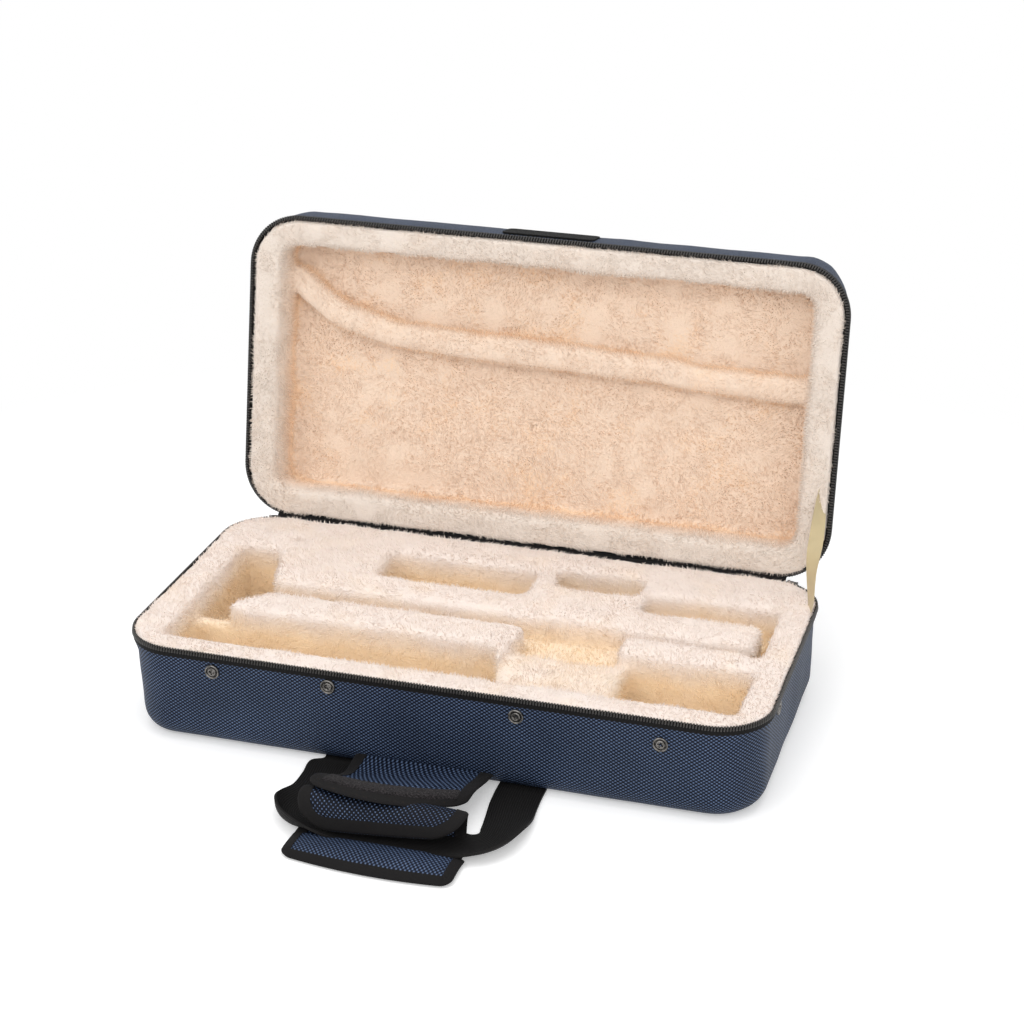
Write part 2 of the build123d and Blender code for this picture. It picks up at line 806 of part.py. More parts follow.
def build_lid():
    """Pieces of the lid, opened."""
    foam, core, lining = lid_inside()
    write("lid_top_panel", as_lid(bottom_panel(cover_thickness)))
    write("lid_side_cover", as_lid(side_cover(lid_height)))
    for name, board in shell_boards(lid_height, lid_wall).items():
        write(f"lid_shell_{name}", as_lid(board))
    write("lid_zip_tape", as_lid(zip_tape(lid_height)))
    write("lid_zip_coil", as_lid(zip_coil(lid_height)))
    write("lid_foam_pad", as_lid(foam))
    write("lid_ridge_foam", as_lid(core))
    write("lid_lining", as_lid(lining))
    write("lid_loop_patch", loop_patch())


def build_zip_sliders():
    """Both sliders and their pulls."""
    for name, side in (("left", -1), ("right", 1)):
        write(f"zip_slider_{name}", parked(slider(), side))
        write(f"zip_pull_{name}", parked(pull(), side))


def build_handle():
    """Loop, grip and closure tab."""
    write("handle_webbing", handle_webbing())
    rear_field, rear_binding = grip_rear()
    write("grip_rear_flap", rear_field)
    write("grip_rear_binding", rear_binding)
    write("grip_hook_strip", grip_hooks())
    front_field, front_binding = grip_front()
    write("grip_front_flap", front_field)
    write("grip_front_binding", front_binding)
    field, binding, hooks = closure_tab()
    write("closure_tab_panel", field)
    write("closure_tab_binding", binding)
    write("closure_tab_hooks", hooks)
    write("closure_tab_root", tab_root())


os.makedirs("parts", exist_ok=True)
build_base()
build_lid()
build_zip_sliders()
build_handle()
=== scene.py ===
import logging
import math
from dataclasses import dataclass
from enum import Enum
from typing import Callable, Iterable, Sequence

import bpy
import numpy as np
from mathutils import Matrix, Vector, noise


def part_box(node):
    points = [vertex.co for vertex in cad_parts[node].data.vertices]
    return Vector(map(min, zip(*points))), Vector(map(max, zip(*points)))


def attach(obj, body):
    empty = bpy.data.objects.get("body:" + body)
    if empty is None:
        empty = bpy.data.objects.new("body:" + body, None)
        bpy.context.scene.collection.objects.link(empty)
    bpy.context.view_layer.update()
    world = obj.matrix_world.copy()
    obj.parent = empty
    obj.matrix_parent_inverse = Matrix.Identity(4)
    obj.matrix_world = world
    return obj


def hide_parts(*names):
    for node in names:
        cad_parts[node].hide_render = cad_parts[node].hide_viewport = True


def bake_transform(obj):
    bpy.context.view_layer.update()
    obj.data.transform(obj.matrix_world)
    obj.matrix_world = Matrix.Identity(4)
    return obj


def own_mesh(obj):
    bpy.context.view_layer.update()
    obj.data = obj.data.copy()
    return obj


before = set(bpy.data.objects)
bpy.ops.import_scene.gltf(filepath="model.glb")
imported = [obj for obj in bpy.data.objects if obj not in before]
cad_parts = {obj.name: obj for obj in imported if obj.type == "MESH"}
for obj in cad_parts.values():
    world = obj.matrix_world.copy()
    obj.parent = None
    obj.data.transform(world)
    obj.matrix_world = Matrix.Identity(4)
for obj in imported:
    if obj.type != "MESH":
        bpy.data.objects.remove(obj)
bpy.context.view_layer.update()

log = logging.getLogger("trumpet_case")
logging.basicConfig(level=logging.INFO, format="%(message)s")

MM = 0.001
OPEN_ANGLE = math.radians(100)
CORNER = 47 * MM  # plan radius of the case's corners
EDGE = 20 * MM  # rounding between side wall and flat panel
LID_HEIGHT = 60 * MM
COIL_GAP = 0.15 * MM  # from the top of the base's coil to the parting plane
HINGE_OUT = 1.0 * MM  # from the back wall to the hinge's axis
MERGE = 1e-6  # vertices nearer than this are one
COVER_LOW, COVER_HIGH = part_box("base_side_cover")
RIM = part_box("base_zip_coil")[1].z + COIL_GAP  # height of the parting plane
LENGTH = COVER_HIGH.x - COVER_LOW.x
WIDTH = COVER_HIGH.y - COVER_LOW.y
HINGE = Vector((0, WIDTH / 2 + HINGE_OUT, RIM))
LID_OPEN = (
    Matrix.Translation(HINGE) @ Matrix.Rotation(-OPEN_ANGLE, 4, "X") @ Matrix.Translation(-HINGE)
)
CASE_FRAME = {"base": Matrix.Identity(4), "lid": LID_OPEN.inverted()}  # rest to closed case
INTO_LID = LID_OPEN.to_3x3() @ Vector((0, 0, -1))  # from the open lid's panel to its rim
FOAM_BLOCKS = tuple(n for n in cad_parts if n.startswith("foam_"))
SHELL_BOARDS = tuple(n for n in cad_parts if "_shell_" in n)
FLAT_PANELS = ("base_bottom_panel", "lid_top_panel")
Piece = bpy.types.Object
Socket = bpy.types.NodeSocket
Place = Callable[[float, float], Vector]
Pair = tuple[float, float]
Triple = tuple[float, float, float]
Colour = Triple


class Slot(Enum):
    """The record's material slots that show."""

    WEAVE = "navy_weave"
    PLUSH = "cream_plush"
    TAPE = "zip_tape"
    COIL = "zip_coil"
    WEBBING = "black_webbing"
    BINDING = "black_binding"
    MESH = "grip_mesh"
    LOOP = "loop_pile"
    HOOK = "hook_pile"
    RIBBON = "cream_ribbon"
    METAL = "gunmetal"
    BOARD = "shell_board"


# -------------------- modelling tools
def clear_selection() -> None:
    """Leaves nothing selected, so that an operator acts only on what is picked next."""
    if bpy.context.object and bpy.context.object.mode != "OBJECT":
        bpy.ops.object.mode_set(mode="OBJECT")
    bpy.ops.object.select_all(action="DESELECT")


def pick(piece: Piece) -> Piece:
    """Makes a piece the only selected and the active one.

    Args:
        piece: the object to work on.

    Returns:
        The same object.
    """
    clear_selection()
    piece.select_set(True)
    bpy.context.view_layer.objects.active = piece
    return piece


def linked(thing: Piece) -> Piece:
    """Puts a new object into the scene."""
    bpy.context.scene.collection.objects.link(thing)
    return thing


def copied(name: str, source: Piece) -> Piece:
    """New piece with its own copy of another's mesh."""
    return linked(bpy.data.objects.new(name, source.data.copy()))


def joined(parts: Sequence[Piece]) -> Piece:
    """Joins pieces into the first of them.

    Args:
        parts: the pieces.

    Returns:
        The first piece, which now holds them all.
    """
    pick(parts[0])
    for part in parts:
        part.select_set(True)
    bpy.ops.object.join()
    return parts[0]


def named(name: str) -> Piece:
    """Names the primitive that was just added, and settles its place into its mesh.

    Args:
        name: the piece's name.

    Returns:
        The new piece.
    """
    piece = bpy.context.object
    piece.name = name
    piece.data.name = name
    bpy.ops.object.transform_apply(location=True, rotation=True, scale=True)
    return piece


def finish_with(piece: Piece, kind: str, **settings: object) -> None:
    """Adds a modifier with its settings and applies it.

    Args:
        piece: the piece to change.
        kind: the modifier's type.
        settings: its properties by name.
    """
    pick(piece)
    modifier = piece.modifiers.new(kind.title(), kind)
    for key, value in settings.items():
        setattr(modifier, key, value)
    bpy.ops.object.modifier_apply(modifier=modifier.name)


def rows_of(elements: Sequence[object], measure: str) -> np.ndarray:
    """A measure of three numbers for each element of a mesh.

    Args:
        elements: the mesh's vertices or faces.
        measure: co, normal or center.

    Returns:
        One row for each element.
    """
    flat = np.zeros(len(elements) * 3)
    elements.foreach_get(measure, flat)
    return flat.reshape(-1, 3)


def points_of(piece: Piece) -> np.ndarray:
    """Places of a mesh's vertices, one row each."""
    return rows_of(piece.data.vertices, "co")


def set_points(piece: Piece, places: np.ndarray) -> None:
    """Moves a mesh's vertices to new places."""
    piece.data.vertices.foreach_set("co", places.astype(np.float32).ravel())
    piece.data.update()


def normals_of(piece: Piece) -> np.ndarray:
    """Vertex normals of a mesh, one row each."""
    return rows_of(piece.data.vertices, "normal")


def edit(piece: Piece, mode: str = "FACE") -> None:
    """Opens a piece in edit mode with nothing selected.

    Args:
        piece: the piece to edit.
        mode: VERT, EDGE or FACE.
    """
    pick(piece)
    bpy.ops.object.mode_set(mode="EDIT")
    bpy.ops.mesh.select_mode(type=mode)
    bpy.ops.mesh.select_all(action="DESELECT")


def choose(piece: Piece, elements: str, test: Callable[[object], bool]) -> None:
    """Selects the vertices, edges or polygons that pass a test, while in edit mode.

    Args:
        piece: the piece in edit mode.
        elements: vertices, edges or polygons.
        test: says whether an element is chosen.
    """
    kind = {"vertices": "VERT", "edges": "EDGE", "polygons": "FACE"}[elements]
    bpy.ops.mesh.select_mode(type=kind)
    bpy.ops.mesh.select_all(action="DESELECT")
    bpy.ops.object.mode_set(mode="OBJECT")
    for element in getattr(piece.data, elements):
        element.select = bool(test(element))
    bpy.ops.object.mode_set(mode="EDIT")


def merge_doubles(piece: Piece, distance: float = MERGE, turn_out: bool = False) -> None:
    """Opens a piece in edit mode and merges its doubled vertices.

    Args:
        piece: the piece, which stays in edit mode with everything selected.
        distance: how near two vertices have to be.
        turn_out: whether its faces are then turned outwards.
    """
    edit(piece, "VERT")
    bpy.ops.mesh.select_all(action="SELECT")
    bpy.ops.mesh.remove_doubles(threshold=distance)
    if turn_out:
        bpy.ops.mesh.normals_make_consistent(inside=False)


def cut_across(place: Vector, way: Vector) -> None:
    """Cuts the whole mesh in edit mode with the plane through place, square to way."""
    bpy.ops.mesh.select_all(action="SELECT")
    bpy.ops.mesh.bisect(plane_co=place, plane_no=way)


def done_editing() -> None:
    """Leaves edit mode."""
    bpy.ops.object.mode_set(mode="OBJECT")


def box(name: str, low: Vector, high: Vector) -> Piece:
    """Block between two corners, from a cube primitive.

    Args:
        name: the piece's name.
        low: its lowest corner.
        high: its highest corner.

    Returns:
        The block.
    """
    clear_selection()
    low, high = Vector(low), Vector(high)
    bpy.ops.mesh.primitive_cube_add(size=1, location=(low + high) / 2)
    bpy.context.object.scale = high - low
    return named(name)


def lengths_along(places: Sequence[Vector]) -> list[float]:
    """Running length of a line of points.

    Args:
        places: its points in turn.

    Returns:
        The length from the first point to each of them.
    """
    total, found = 0.0, [0.0]
    for one, other in zip(places, places[1:]):
        total += (Vector(other) - Vector(one)).length
        found.append(total)
    return found


def cloth_grid(name: str, across: int, along: int, place: Place) -> Piece:
    """Sheet from a grid primitive, each vertex put where place says; its UV map is in metres.

    Args:
        name: the piece's name.
        across: cells from side to side.
        along: cells from end to end.
        place: the point at shares (side to side, end to end), from 0 to 1.

    Returns:
        The sheet, without thickness.
    """
    clear_selection()
    bpy.ops.mesh.primitive_grid_add(x_subdivisions=across, y_subdivisions=along, size=1)
    piece = named(name)
    shares = points_of(piece)[:, :2] + 0.5
    table = {}
    for i in range(across + 1):
        for j in range(along + 1):
            table[i, j] = Vector(place(i / across, j / along))
    keys = [(round(s * across), round(t * along)) for s, t in shares]
    set_points(piece, np.array([table[key] for key in keys]))
    u = lengths_along([table[i, along // 2] for i in range(across + 1)])
    v = lengths_along([table[across // 2, j] for j in range(along + 1)])
    layer = piece.data.uv_layers[0]
    for loop in piece.data.loops:
        i, j = keys[loop.vertex_index]
        layer.data[loop.index].uv = (u[i], v[j])
    return piece


def smooth_line(points: Sequence[Sequence[float]], share: float) -> Vector:
    """Point at a share of the way along a smooth line through points.

    Args:
        points: the line's points, evenly spread in share.
        share: from 0 to 1.

    Returns:
        The point there.
    """
    spans = len(points) - 1
    at = min(max(share, 0.0), 1.0) * spans
    i = min(int(at), spans - 1)
    t = at - i
    p1, p2 = Vector(points[i]), Vector(points[i + 1])
    p0 = Vector(points[i - 1]) if i else p1 * 2 - p2
    p3 = Vector(points[i + 2]) if i + 2 <= spans else p2 * 2 - p1
    return 0.5 * (
        2 * p1 + (p2 - p0) * t + (2 * p0 - 5 * p1 + 4 * p2 - p3) * t**2
        + (3 * p1 - p0 - 3 * p2 + p3) * t**3
    )


def smooth_shade(piece: Piece, angle: float = 50.0) -> None:
    """Shades a piece smooth, keeping edges sharper than an angle in degrees."""
    pick(piece)
    bpy.ops.object.shade_smooth_by_angle(angle=math.radians(angle))


def open_lid(piece: Piece) -> None:
    """Turns a piece from its place on the closed lid to the open lid."""
    piece.data.transform(LID_OPEN)
    piece.data.update()


def deliver(
    piece: Piece, body: str, finish: "Finish", replaced: Iterable[str] = ()
) -> Piece:
    """Gives a piece its finish, its body and the CAD nodes that it stands for, and reports it.

    Args:
        piece: the finished piece.
        body: the CAD body that it rides on; empty to leave it unattached.
        finish: what its surface is.
        replaced: CAD nodes that it stands for.

    Returns:
        The same piece.
    """
    piece.data.materials.clear()
    piece.data.materials.append(finish.material())
    if body:
        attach(piece, body)
    if replaced:
        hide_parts(*replaced)
    log.info("%s: %d faces, %s", piece.name, len(piece.data.polygons), finish.slot.value)
    return piece


# -------------------- finishes
class Graph:
    """Small helper that builds one material's nodes."""

    def __init__(self, name: str) -> None:
        """Starts a material with its shader and output.

        Args:
            name: the material's name.
        """
        self.material = bpy.data.materials.new(name)
        self.material.use_nodes = True
        self.tree = self.material.node_tree
        self.shader = self.tree.nodes["Principled BSDF"]

    def node(self, kind: str, *inputs: object, **settings: object) -> bpy.types.Node:
        """Adds a node; inputs are values or sockets in order, None leaves one as it is.

        Args:
            kind: the node's type without its ShaderNode prefix.
            inputs: values or output sockets.
            settings: properties by name.

        Returns:
            The node.
        """
        made = self.tree.nodes.new("ShaderNode" + kind)
        for key, value in settings.items():
            setattr(made, key, value)
        for socket, value in zip(made.inputs, inputs):
            self.put(socket, value)
        return made

    def put(self, socket: Socket, value: object) -> None:
        """Sets or links one input socket.

        Args:
            socket: the input.
            value: a value, an output socket to link, or None to leave the input alone.
        """
        if value is None:
            return
        if isinstance(value, Socket):
            self.tree.links.new(value, socket)
        else:
            socket.default_value = value

    def math(self, operation: str, *inputs: object) -> Socket:
        """Result of a math node."""
        return self.node("Math", *inputs, operation=operation).outputs[0]

    def stirred(self, level: object, stir: object, amount: float) -> Socket:
        """Level moved up and down by a noise about its middle."""
        return self.math("MULTIPLY_ADD", self.math("SUBTRACT", stir, 0.5), amount, level)

    def where(self, coordinates: str = "UV") -> tuple[Socket, ...]:
        """X, Y and Z of the piece's coordinates, and the vector itself.

        Args:
            coordinates: UV or Object.

        Returns:
            The four sockets.
        """
        vector = self.node("TexCoord").outputs[coordinates]
        split = self.node("SeparateXYZ", vector)
        return (*split.outputs[:3], vector)

    def noise(
        self, vector: object, scale: float, detail: float = 2.0, rough: float = 0.5
    ) -> Socket:
        """Factor of a noise texture.

        Args:
            vector: where it is read.
            scale: its lumps per metre.
            detail: its finer layers.
            rough: how strong the finer layers are.

        Returns:
            The factor's socket.
        """
        made = self.node("TexNoise", noise_dimensions="3D")
        self.put(made.inputs["Vector"], vector)
        for key, value in (("Scale", scale), ("Detail", detail), ("Roughness", rough)):
            made.inputs[key].default_value = value
        return made.outputs[0]

    def ramp(self, factor: object, *stops: tuple[float, Colour]) -> Socket:
        """Colour ramp.

        Args:
            factor: where on the ramp the colour is read.
            stops: position and colour of each stop, in rising order.

        Returns:
            The colour's socket.
        """
        made = self.node("ValToRGB", factor)
        elements = made.color_ramp.elements
        while len(elements) < len(stops):
            elements.new(position=0.5)
        for element, (position, colour) in zip(elements, stops):
            element.position = position
            element.color = (*colour, 1.0)
        return made.outputs[0]

    def multiplied(self, one: object, other: object) -> Socket:
        """Product of two colours."""
        return self.node("MixRGB", 1.0, one, other, blend_type="MULTIPLY").outputs[0]

    def bump(self, height: object, distance: float, strength: float) -> None:
        """Drives the shader's normal from a height.

        Args:
            height: socket of the relief, from 0 to 1.
            distance: the relief's depth.
            strength: how much of it shows.
        """
        made = self.node("Bump")
        made.inputs["Strength"].default_value = strength
        made.inputs["Distance"].default_value = distance
        self.put(made.inputs["Height"], height)
        self.put(self.shader.inputs["Normal"], made.outputs[0])

    def surface(self, **values: object) -> None:
        """Sets the shader's own sockets by name, underscores standing for spaces."""
        for key, value in values.items():
            if isinstance(value, tuple) and len(value) == 3:
                value = (*value, 1.0)
            self.put(self.shader.inputs[key.replace("_", " ")], value)


def scaled(colour: Colour, factor: float) -> Colour:
    """Colour made darker or lighter."""
    return tuple(c * factor for c in colour)


class Finish:
    """One surface of the case; each kind builds its nodes once."""

    slot: Slot
    made: bpy.types.Material | None = None

    def material(self) -> bpy.types.Material:
        """The finish's material, built the first time that it is asked for.

        Returns:
            The material.
        """
        if self.made is None:
            graph = Graph(type(self).__name__ + "_" + self.slot.value)
            self.build(graph)
            self.made = graph.material
        return self.made

    def build(self, graph: Graph) -> None:
        """Fills the material's nodes.

        Args:
            graph: the material's graph, with its shader.
        """
        raise NotImplementedError


class NavyWeave(Finish):
    """Heavy woven nylon: yarn floats, painted shade in the gaps and painted highlight on the crowns."""

    # colours up the weave's relief: painted shade in the gaps, the yarn, a painted highlight on the
    # crowns
    gap: Colour = (0.0012, 0.0018, 0.0045)
    yarn: Colour = (0.018, 0.029, 0.060)
    glint: Colour = (0.125, 0.178, 0.292)
    wander = 1.6  # of the rows, radians
    twist = (2.0, 5.0)  # of the yarn: its turns for one across and one along
    twist_light = 0.06
    speckle = 0.35
    cloud_dark, cloud_light = 0.8, 1.12

    def __init__(
        self, coordinates: str = "UV", slot: Slot = Slot.WEAVE, column: float = 4.3 * MM,
        row: float = 3.1 * MM, relief: float = 0.5 * MM,
        stops: Triple = (0.28, 0.58, 0.95),
    ) -> None:
        """Takes the coordinates that the weave follows and its two pitches.

        Args:
            coordinates: UV or Object; the yarns run along their X and Y.
            slot: the record's slot.
            column: pitch of the yarn floats along a row.
            row: height of two rows.
            relief: depth of the weave.
            stops: heights where the painted gap shade ends, the yarn shows and the painted highlight
                starts.
        """
        self.coordinates, self.slot = coordinates, slot
        self.column, self.row, self.relief, self.stops = column, row, relief, stops

    def build(self, graph: Graph) -> None:
        """Weave from two crossed waves, painted shade to highlight up its relief, fine twist and slow
        unevenness.
        """
        x, y, _, vector = graph.where(self.coordinates)
        wander = graph.math("MULTIPLY", graph.noise(vector, scale=90.0), self.wander)
        across = graph.math("ADD", graph.math("MULTIPLY", x, math.tau / self.column), wander)
        along = graph.math("ADD", graph.math("MULTIPLY", y, math.tau / self.row), wander)
        cell = graph.math("MULTIPLY", graph.math("COSINE", across), graph.math("COSINE", along))
        height = graph.math("MULTIPLY_ADD", cell, 0.5, 0.5)
        turns = graph.math("MULTIPLY", along, self.twist[1])
        turns = graph.math("MULTIPLY_ADD", across, self.twist[0], turns)
        strand = graph.math("SINE", turns)
        speckle = graph.noise(vector, scale=700.0, detail=1.0)
        lit = graph.math("MULTIPLY_ADD", strand, self.twist_light, height)
        lit = graph.stirred(lit, speckle, self.speckle)
        # painted shade in the gaps, the yarn, and a painted highlight on the crowns
        colour = graph.ramp(lit, *zip(self.stops, (self.gap, self.yarn, self.glint)))
        cloud = graph.ramp(
            graph.noise(vector, scale=14.0), (0.3, (self.cloud_dark,) * 3),
            (0.7, (self.cloud_light,) * 3),
        )
        graph.surface(
            Base_Color=graph.multiplied(colour, cloud), Roughness=0.5, Specular_IOR_Level=0.12
        )
        graph.bump(lit, self.relief, strength=0.9)


class CreamPlush(Finish):
    """Cut-pile plush: pale tips, painted warm shade deeper down, warmer too where the pile is parted.
    """

    slot = Slot.PLUSH
    crease_shade_tint: Colour = (1.05, 0.96, 0.82)  # painted warm shade in the crease beside the lid's walls
    fine_drift = 0.25

    def __init__(self, low: float, high: float, root: Colour, tip: Colour, lid: bool) -> None:
        """Takes the depth range over which the pile turns from warm to pale.

        Args:
            low: depth coordinate of the deepest pile.
            high: depth coordinate of the rim.
            root: colour of the deepest pile, a painted warm shade.
            tip: colour of the pile at the rim.
            lid: whether depth is read on the open lid.
        """
        self.low, self.high, self.root, self.tip, self.lid = low, high, root, tip, lid

    def build(self, graph: Graph) -> None:
        """Painted warm shade by depth, drifting nap and fine pile."""
        _, _, depth, vector = graph.where("Object")
        drift, stops = 0.8, ((0.0, self.root),)
        if self.lid:
            dot = graph.node("VectorMath", vector, tuple(INTO_LID), operation="DOT_PRODUCT")
            depth = dot.outputs["Value"]
            # painted warm shade in the crease beside the lid's walls
            warm = tuple(c * f for c, f in zip(self.root, self.crease_shade_tint))
            drift, stops = 0.4, ((0.14, self.root), (0.26, warm), (0.5, self.root))
        span = graph.node("MapRange", depth, self.low, self.high, 0.0, 1.0).outputs[0]
        lean = graph.stirred(span, graph.noise(vector, scale=24.0, detail=3.0), drift)
        pile = graph.noise(vector, scale=420.0)
        lean = graph.stirred(lean, pile, self.fine_drift)
        graph.surface(
            Base_Color=graph.ramp(lean, *stops, (1.0, self.tip)), Roughness=0.95,
            Specular_IOR_Level=0.1, Sheen_Weight=0.35, Sheen_Roughness=0.6,
        )
        fine = graph.noise(vector, scale=900.0, rough=0.6)
        graph.bump(graph.math("ADD", fine, pile), 1.2 * MM, strength=0.7)


class PlainCloth(Finish):
    """Black narrow goods: a rib across and a fine tooth."""

    wander = 2.0  # of the ribs, radians
    tooth = 0.6
    dark, light = 0.5, 2.2  # painted shade in the furrows and painted highlight on the crowns, as shares of the colour

    def __init__(
        self, slot: Slot, colour: Colour, rib: float, height: float, coordinates: str = "UV",
        axis: int = 1,
    ) -> None:
        """Takes the rib's sizes and the axis that it repeats along.

        Args:
            slot: the record's slot.
            colour: colour between crown and furrow.
            rib: pitch of the ribs.
            height: their relief.
            coordinates: UV or Object.
            axis: number of the axis that the ribs follow each other along.
        """
        self.slot, self.colour, self.rib, self.height = slot, colour, rib, height
        self.coordinates, self.axis = coordinates, axis

    def build(self, graph: Graph) -> None:
        """Ribs with painted shade in the furrows and a painted highlight on the crowns."""
        parts = graph.where(self.coordinates)
        vector = parts[3]
        wander = graph.math("MULTIPLY", graph.noise(vector, scale=120.0), self.wander)
        turn = graph.math("MULTIPLY_ADD", parts[self.axis], math.tau / self.rib, wander)
        crown = graph.math("MULTIPLY_ADD", graph.math("SINE", turn), 0.5, 0.5)
        level = graph.stirred(crown, graph.noise(vector, scale=1400.0, detail=1.0), self.tooth)
        colour = graph.ramp(
            level, (0.1, scaled(self.colour, self.dark)), (0.6, self.colour),
            (1.0, scaled(self.colour, self.light)),
        )
        graph.surface(Base_Color=colour, Roughness=0.7, Specular_IOR_Level=0.12, Sheen_Weight=0.02)
        graph.bump(level, self.height, strength=0.8)


class Fuzz(Finish):
    """Hook or loop pile: matted black fibre."""

    dark, light = 0.35, 3.5  # painted shade in the gaps and painted highlight on the fibre tips, as shares of the colour

    def __init__(self, slot: Slot, colour: Colour) -> None:
        """Takes the slot and the pile's colour."""
        self.slot, self.colour = slot, colour

    def build(self, graph: Graph) -> None:
        """Speckled pile, with painted shade in its low gaps and painted highlight on its tips."""
        vector = graph.where("Object")[3]
        speck = graph.noise(vector, scale=800.0, detail=3.0, rough=0.7)
        colour = graph.ramp(
            speck, (0.35, scaled(self.colour, self.dark)), (0.5, self.colour),
            (0.72, scaled(self.colour, self.light)),
        )
        graph.surface(Base_Color=colour, Roughness=0.95, Specular_IOR_Level=0.08, Sheen_Weight=0.05)
        graph.bump(speck, 0.9 * MM, strength=1.0)


class RibbonSatin(Finish):
    """Pale satin ribbon with a fine weft."""

    slot = Slot.RIBBON
    colour: Colour = (0.565, 0.455, 0.26)
    dark = 0.88  # its darker drift, as a share of the colour
    weft = 0.7 * MM

    def build(self, graph: Graph) -> None:
        """Fine cross ribs and soft gloss."""
        _, along, _, vector = graph.where("UV")
        weft = graph.math("SINE", graph.math("MULTIPLY", along, math.tau / self.weft))
        drift = graph.noise(vector, scale=60.0)
        colour = graph.ramp(drift, (0.3, scaled(self.colour, self.dark)), (0.7, self.colour))
        graph.surface(Base_Color=colour, Roughness=0.5, Specular_IOR_Level=0.4, Sheen_Weight=0.3)
        graph.bump(weft, 0.06 * MM, strength=0.6)


class Gunmetal(Finish):
    """Dark nickel plating with light handling marks."""

    slot = Slot.METAL
    dark: Colour = (0.07, 0.066, 0.062)
    light: Colour = (0.24, 0.228, 0.215)
    drift = (0.3, 0.7)  # levels of the drift at which it is dark and light
    roughness = (0.22, 0.4)  # at those levels

    def build(self, graph: Graph) -> None:
        """Metal with drifting tint and roughness."""
        vector = graph.where("Object")[3]
        drift = graph.noise(vector, scale=300.0, detail=3.0)
        colour = graph.ramp(drift, *zip(self.drift, (self.dark, self.light)))
        rough = graph.node("MapRange", drift, *self.drift, *self.roughness).outputs[0]
        graph.surface(Base_Color=colour, Metallic=1.0, Roughness=rough)
        graph.bump(graph.noise(vector, scale=2500.0, detail=1.0), 0.03 * MM, strength=0.4)


class CoilNylon(Finish):
    """Black nylon monofilament, with painted glints in random lighter patches."""

    slot = Slot.COIL
    # dark: the nylon; light: painted glints
    dark: Colour = (0.008, 0.008, 0.008)
    light: Colour = (0.040, 0.034, 0.029)

    def build(self, graph: Graph) -> None:
        """Dark satin plastic; its lighter patches are painted glints."""
        drift = graph.noise(graph.where("Object")[3], scale=500.0)
        colour = graph.ramp(drift, (0.3, self.dark), (0.7, self.light))
        graph.surface(Base_Color=colour, Roughness=0.34, Specular_IOR_Level=0.55)
        graph.bump(drift, 0.05 * MM, strength=0.4)


class Board(Finish):
    """Black pulp board, behind the cloth."""

    slot = Slot.BOARD
    colour: Colour = (0.016, 0.015, 0.015)
    dark = 0.8  # its grain, as a share of the colour

    def build(self, graph: Graph) -> None:
        """Open-grained matt surface."""
        grain = graph.noise(graph.where("Object")[3], scale=300.0, detail=3.0, rough=0.7)
        colour = graph.ramp(grain, (0.3, scaled(self.colour, self.dark)), (0.7, self.colour))
        graph.surface(Base_Color=colour, Roughness=0.9, Specular_IOR_Level=0.2)
        graph.bump(grain, 0.3 * MM, strength=0.5)


@dataclass
class Finishes:
    """Every finish of the case, each built once."""

    weave: NavyWeave
    panel: NavyWeave
    tab: NavyWeave
    mesh: NavyWeave
    knit: NavyWeave
    bed: CreamPlush
    lid: CreamPlush
    tape: PlainCloth
    coil: CoilNylon
    webbing: PlainCloth
    binding: PlainCloth
    loop: Fuzz
    hook: Fuzz
    ribbon: RibbonSatin
    metal: Gunmetal
    board: Board


def all_finishes() -> Finishes:
    """Makes the set of finishes.

    Returns:
        The set; no material is built yet.
    """
    lid_rim = INTO_LID.dot(LID_OPEN @ Vector((0, 0, RIM)))
    return Finishes(
        weave=NavyWeave(),
        panel=NavyWeave("Object"),
        tab=NavyWeave(row=6.0 * MM, relief=0.6 * MM),
        mesh=NavyWeave(
            slot=Slot.MESH, column=4.0 * MM, row=3.5 * MM, relief=0.7 * MM, stops=(0.52, 0.80, 1.12)
        ),
        knit=NavyWeave(
            slot=Slot.MESH, column=3.6 * MM, row=4.4 * MM, relief=0.6 * MM, stops=(0.22, 0.56, 0.98)
        ),
        # root: painted warm shade of the deepest pile; tip: the colour at the rim
        bed=CreamPlush(
            low=RIM - 27 * MM, high=RIM - 4 * MM, root=(1.0, 0.80, 0.56), tip=(0.90, 0.79, 0.72),
            lid=False,
        ),
        lid=CreamPlush(
            low=lid_rim - 46 * MM, high=lid_rim - 3 * MM, root=(0.93, 0.735, 0.58),
            tip=(0.82, 0.72, 0.635), lid=True,
        ),
        tape=PlainCloth(
            Slot.TAPE, (0.0055, 0.0052, 0.0054), rib=1.2 * MM, height=0.1 * MM,
            coordinates="Object", axis=2,
        ),
        coil=CoilNylon(),
        webbing=PlainCloth(
            Slot.WEBBING, (0.0048, 0.0044, 0.0044), rib=2.0 * MM, height=0.3 * MM, axis=0
        ),
        binding=PlainCloth(
            Slot.BINDING, (0.0062, 0.0056, 0.0058), rib=0.9 * MM, height=0.12 * MM
        ),
        loop=Fuzz(Slot.LOOP, (0.008, 0.008, 0.008)),
        hook=Fuzz(Slot.HOOK, (0.019, 0.017, 0.018)),
        ribbon=RibbonSatin(),
        metal=Gunmetal(),
        board=Board(),
    )


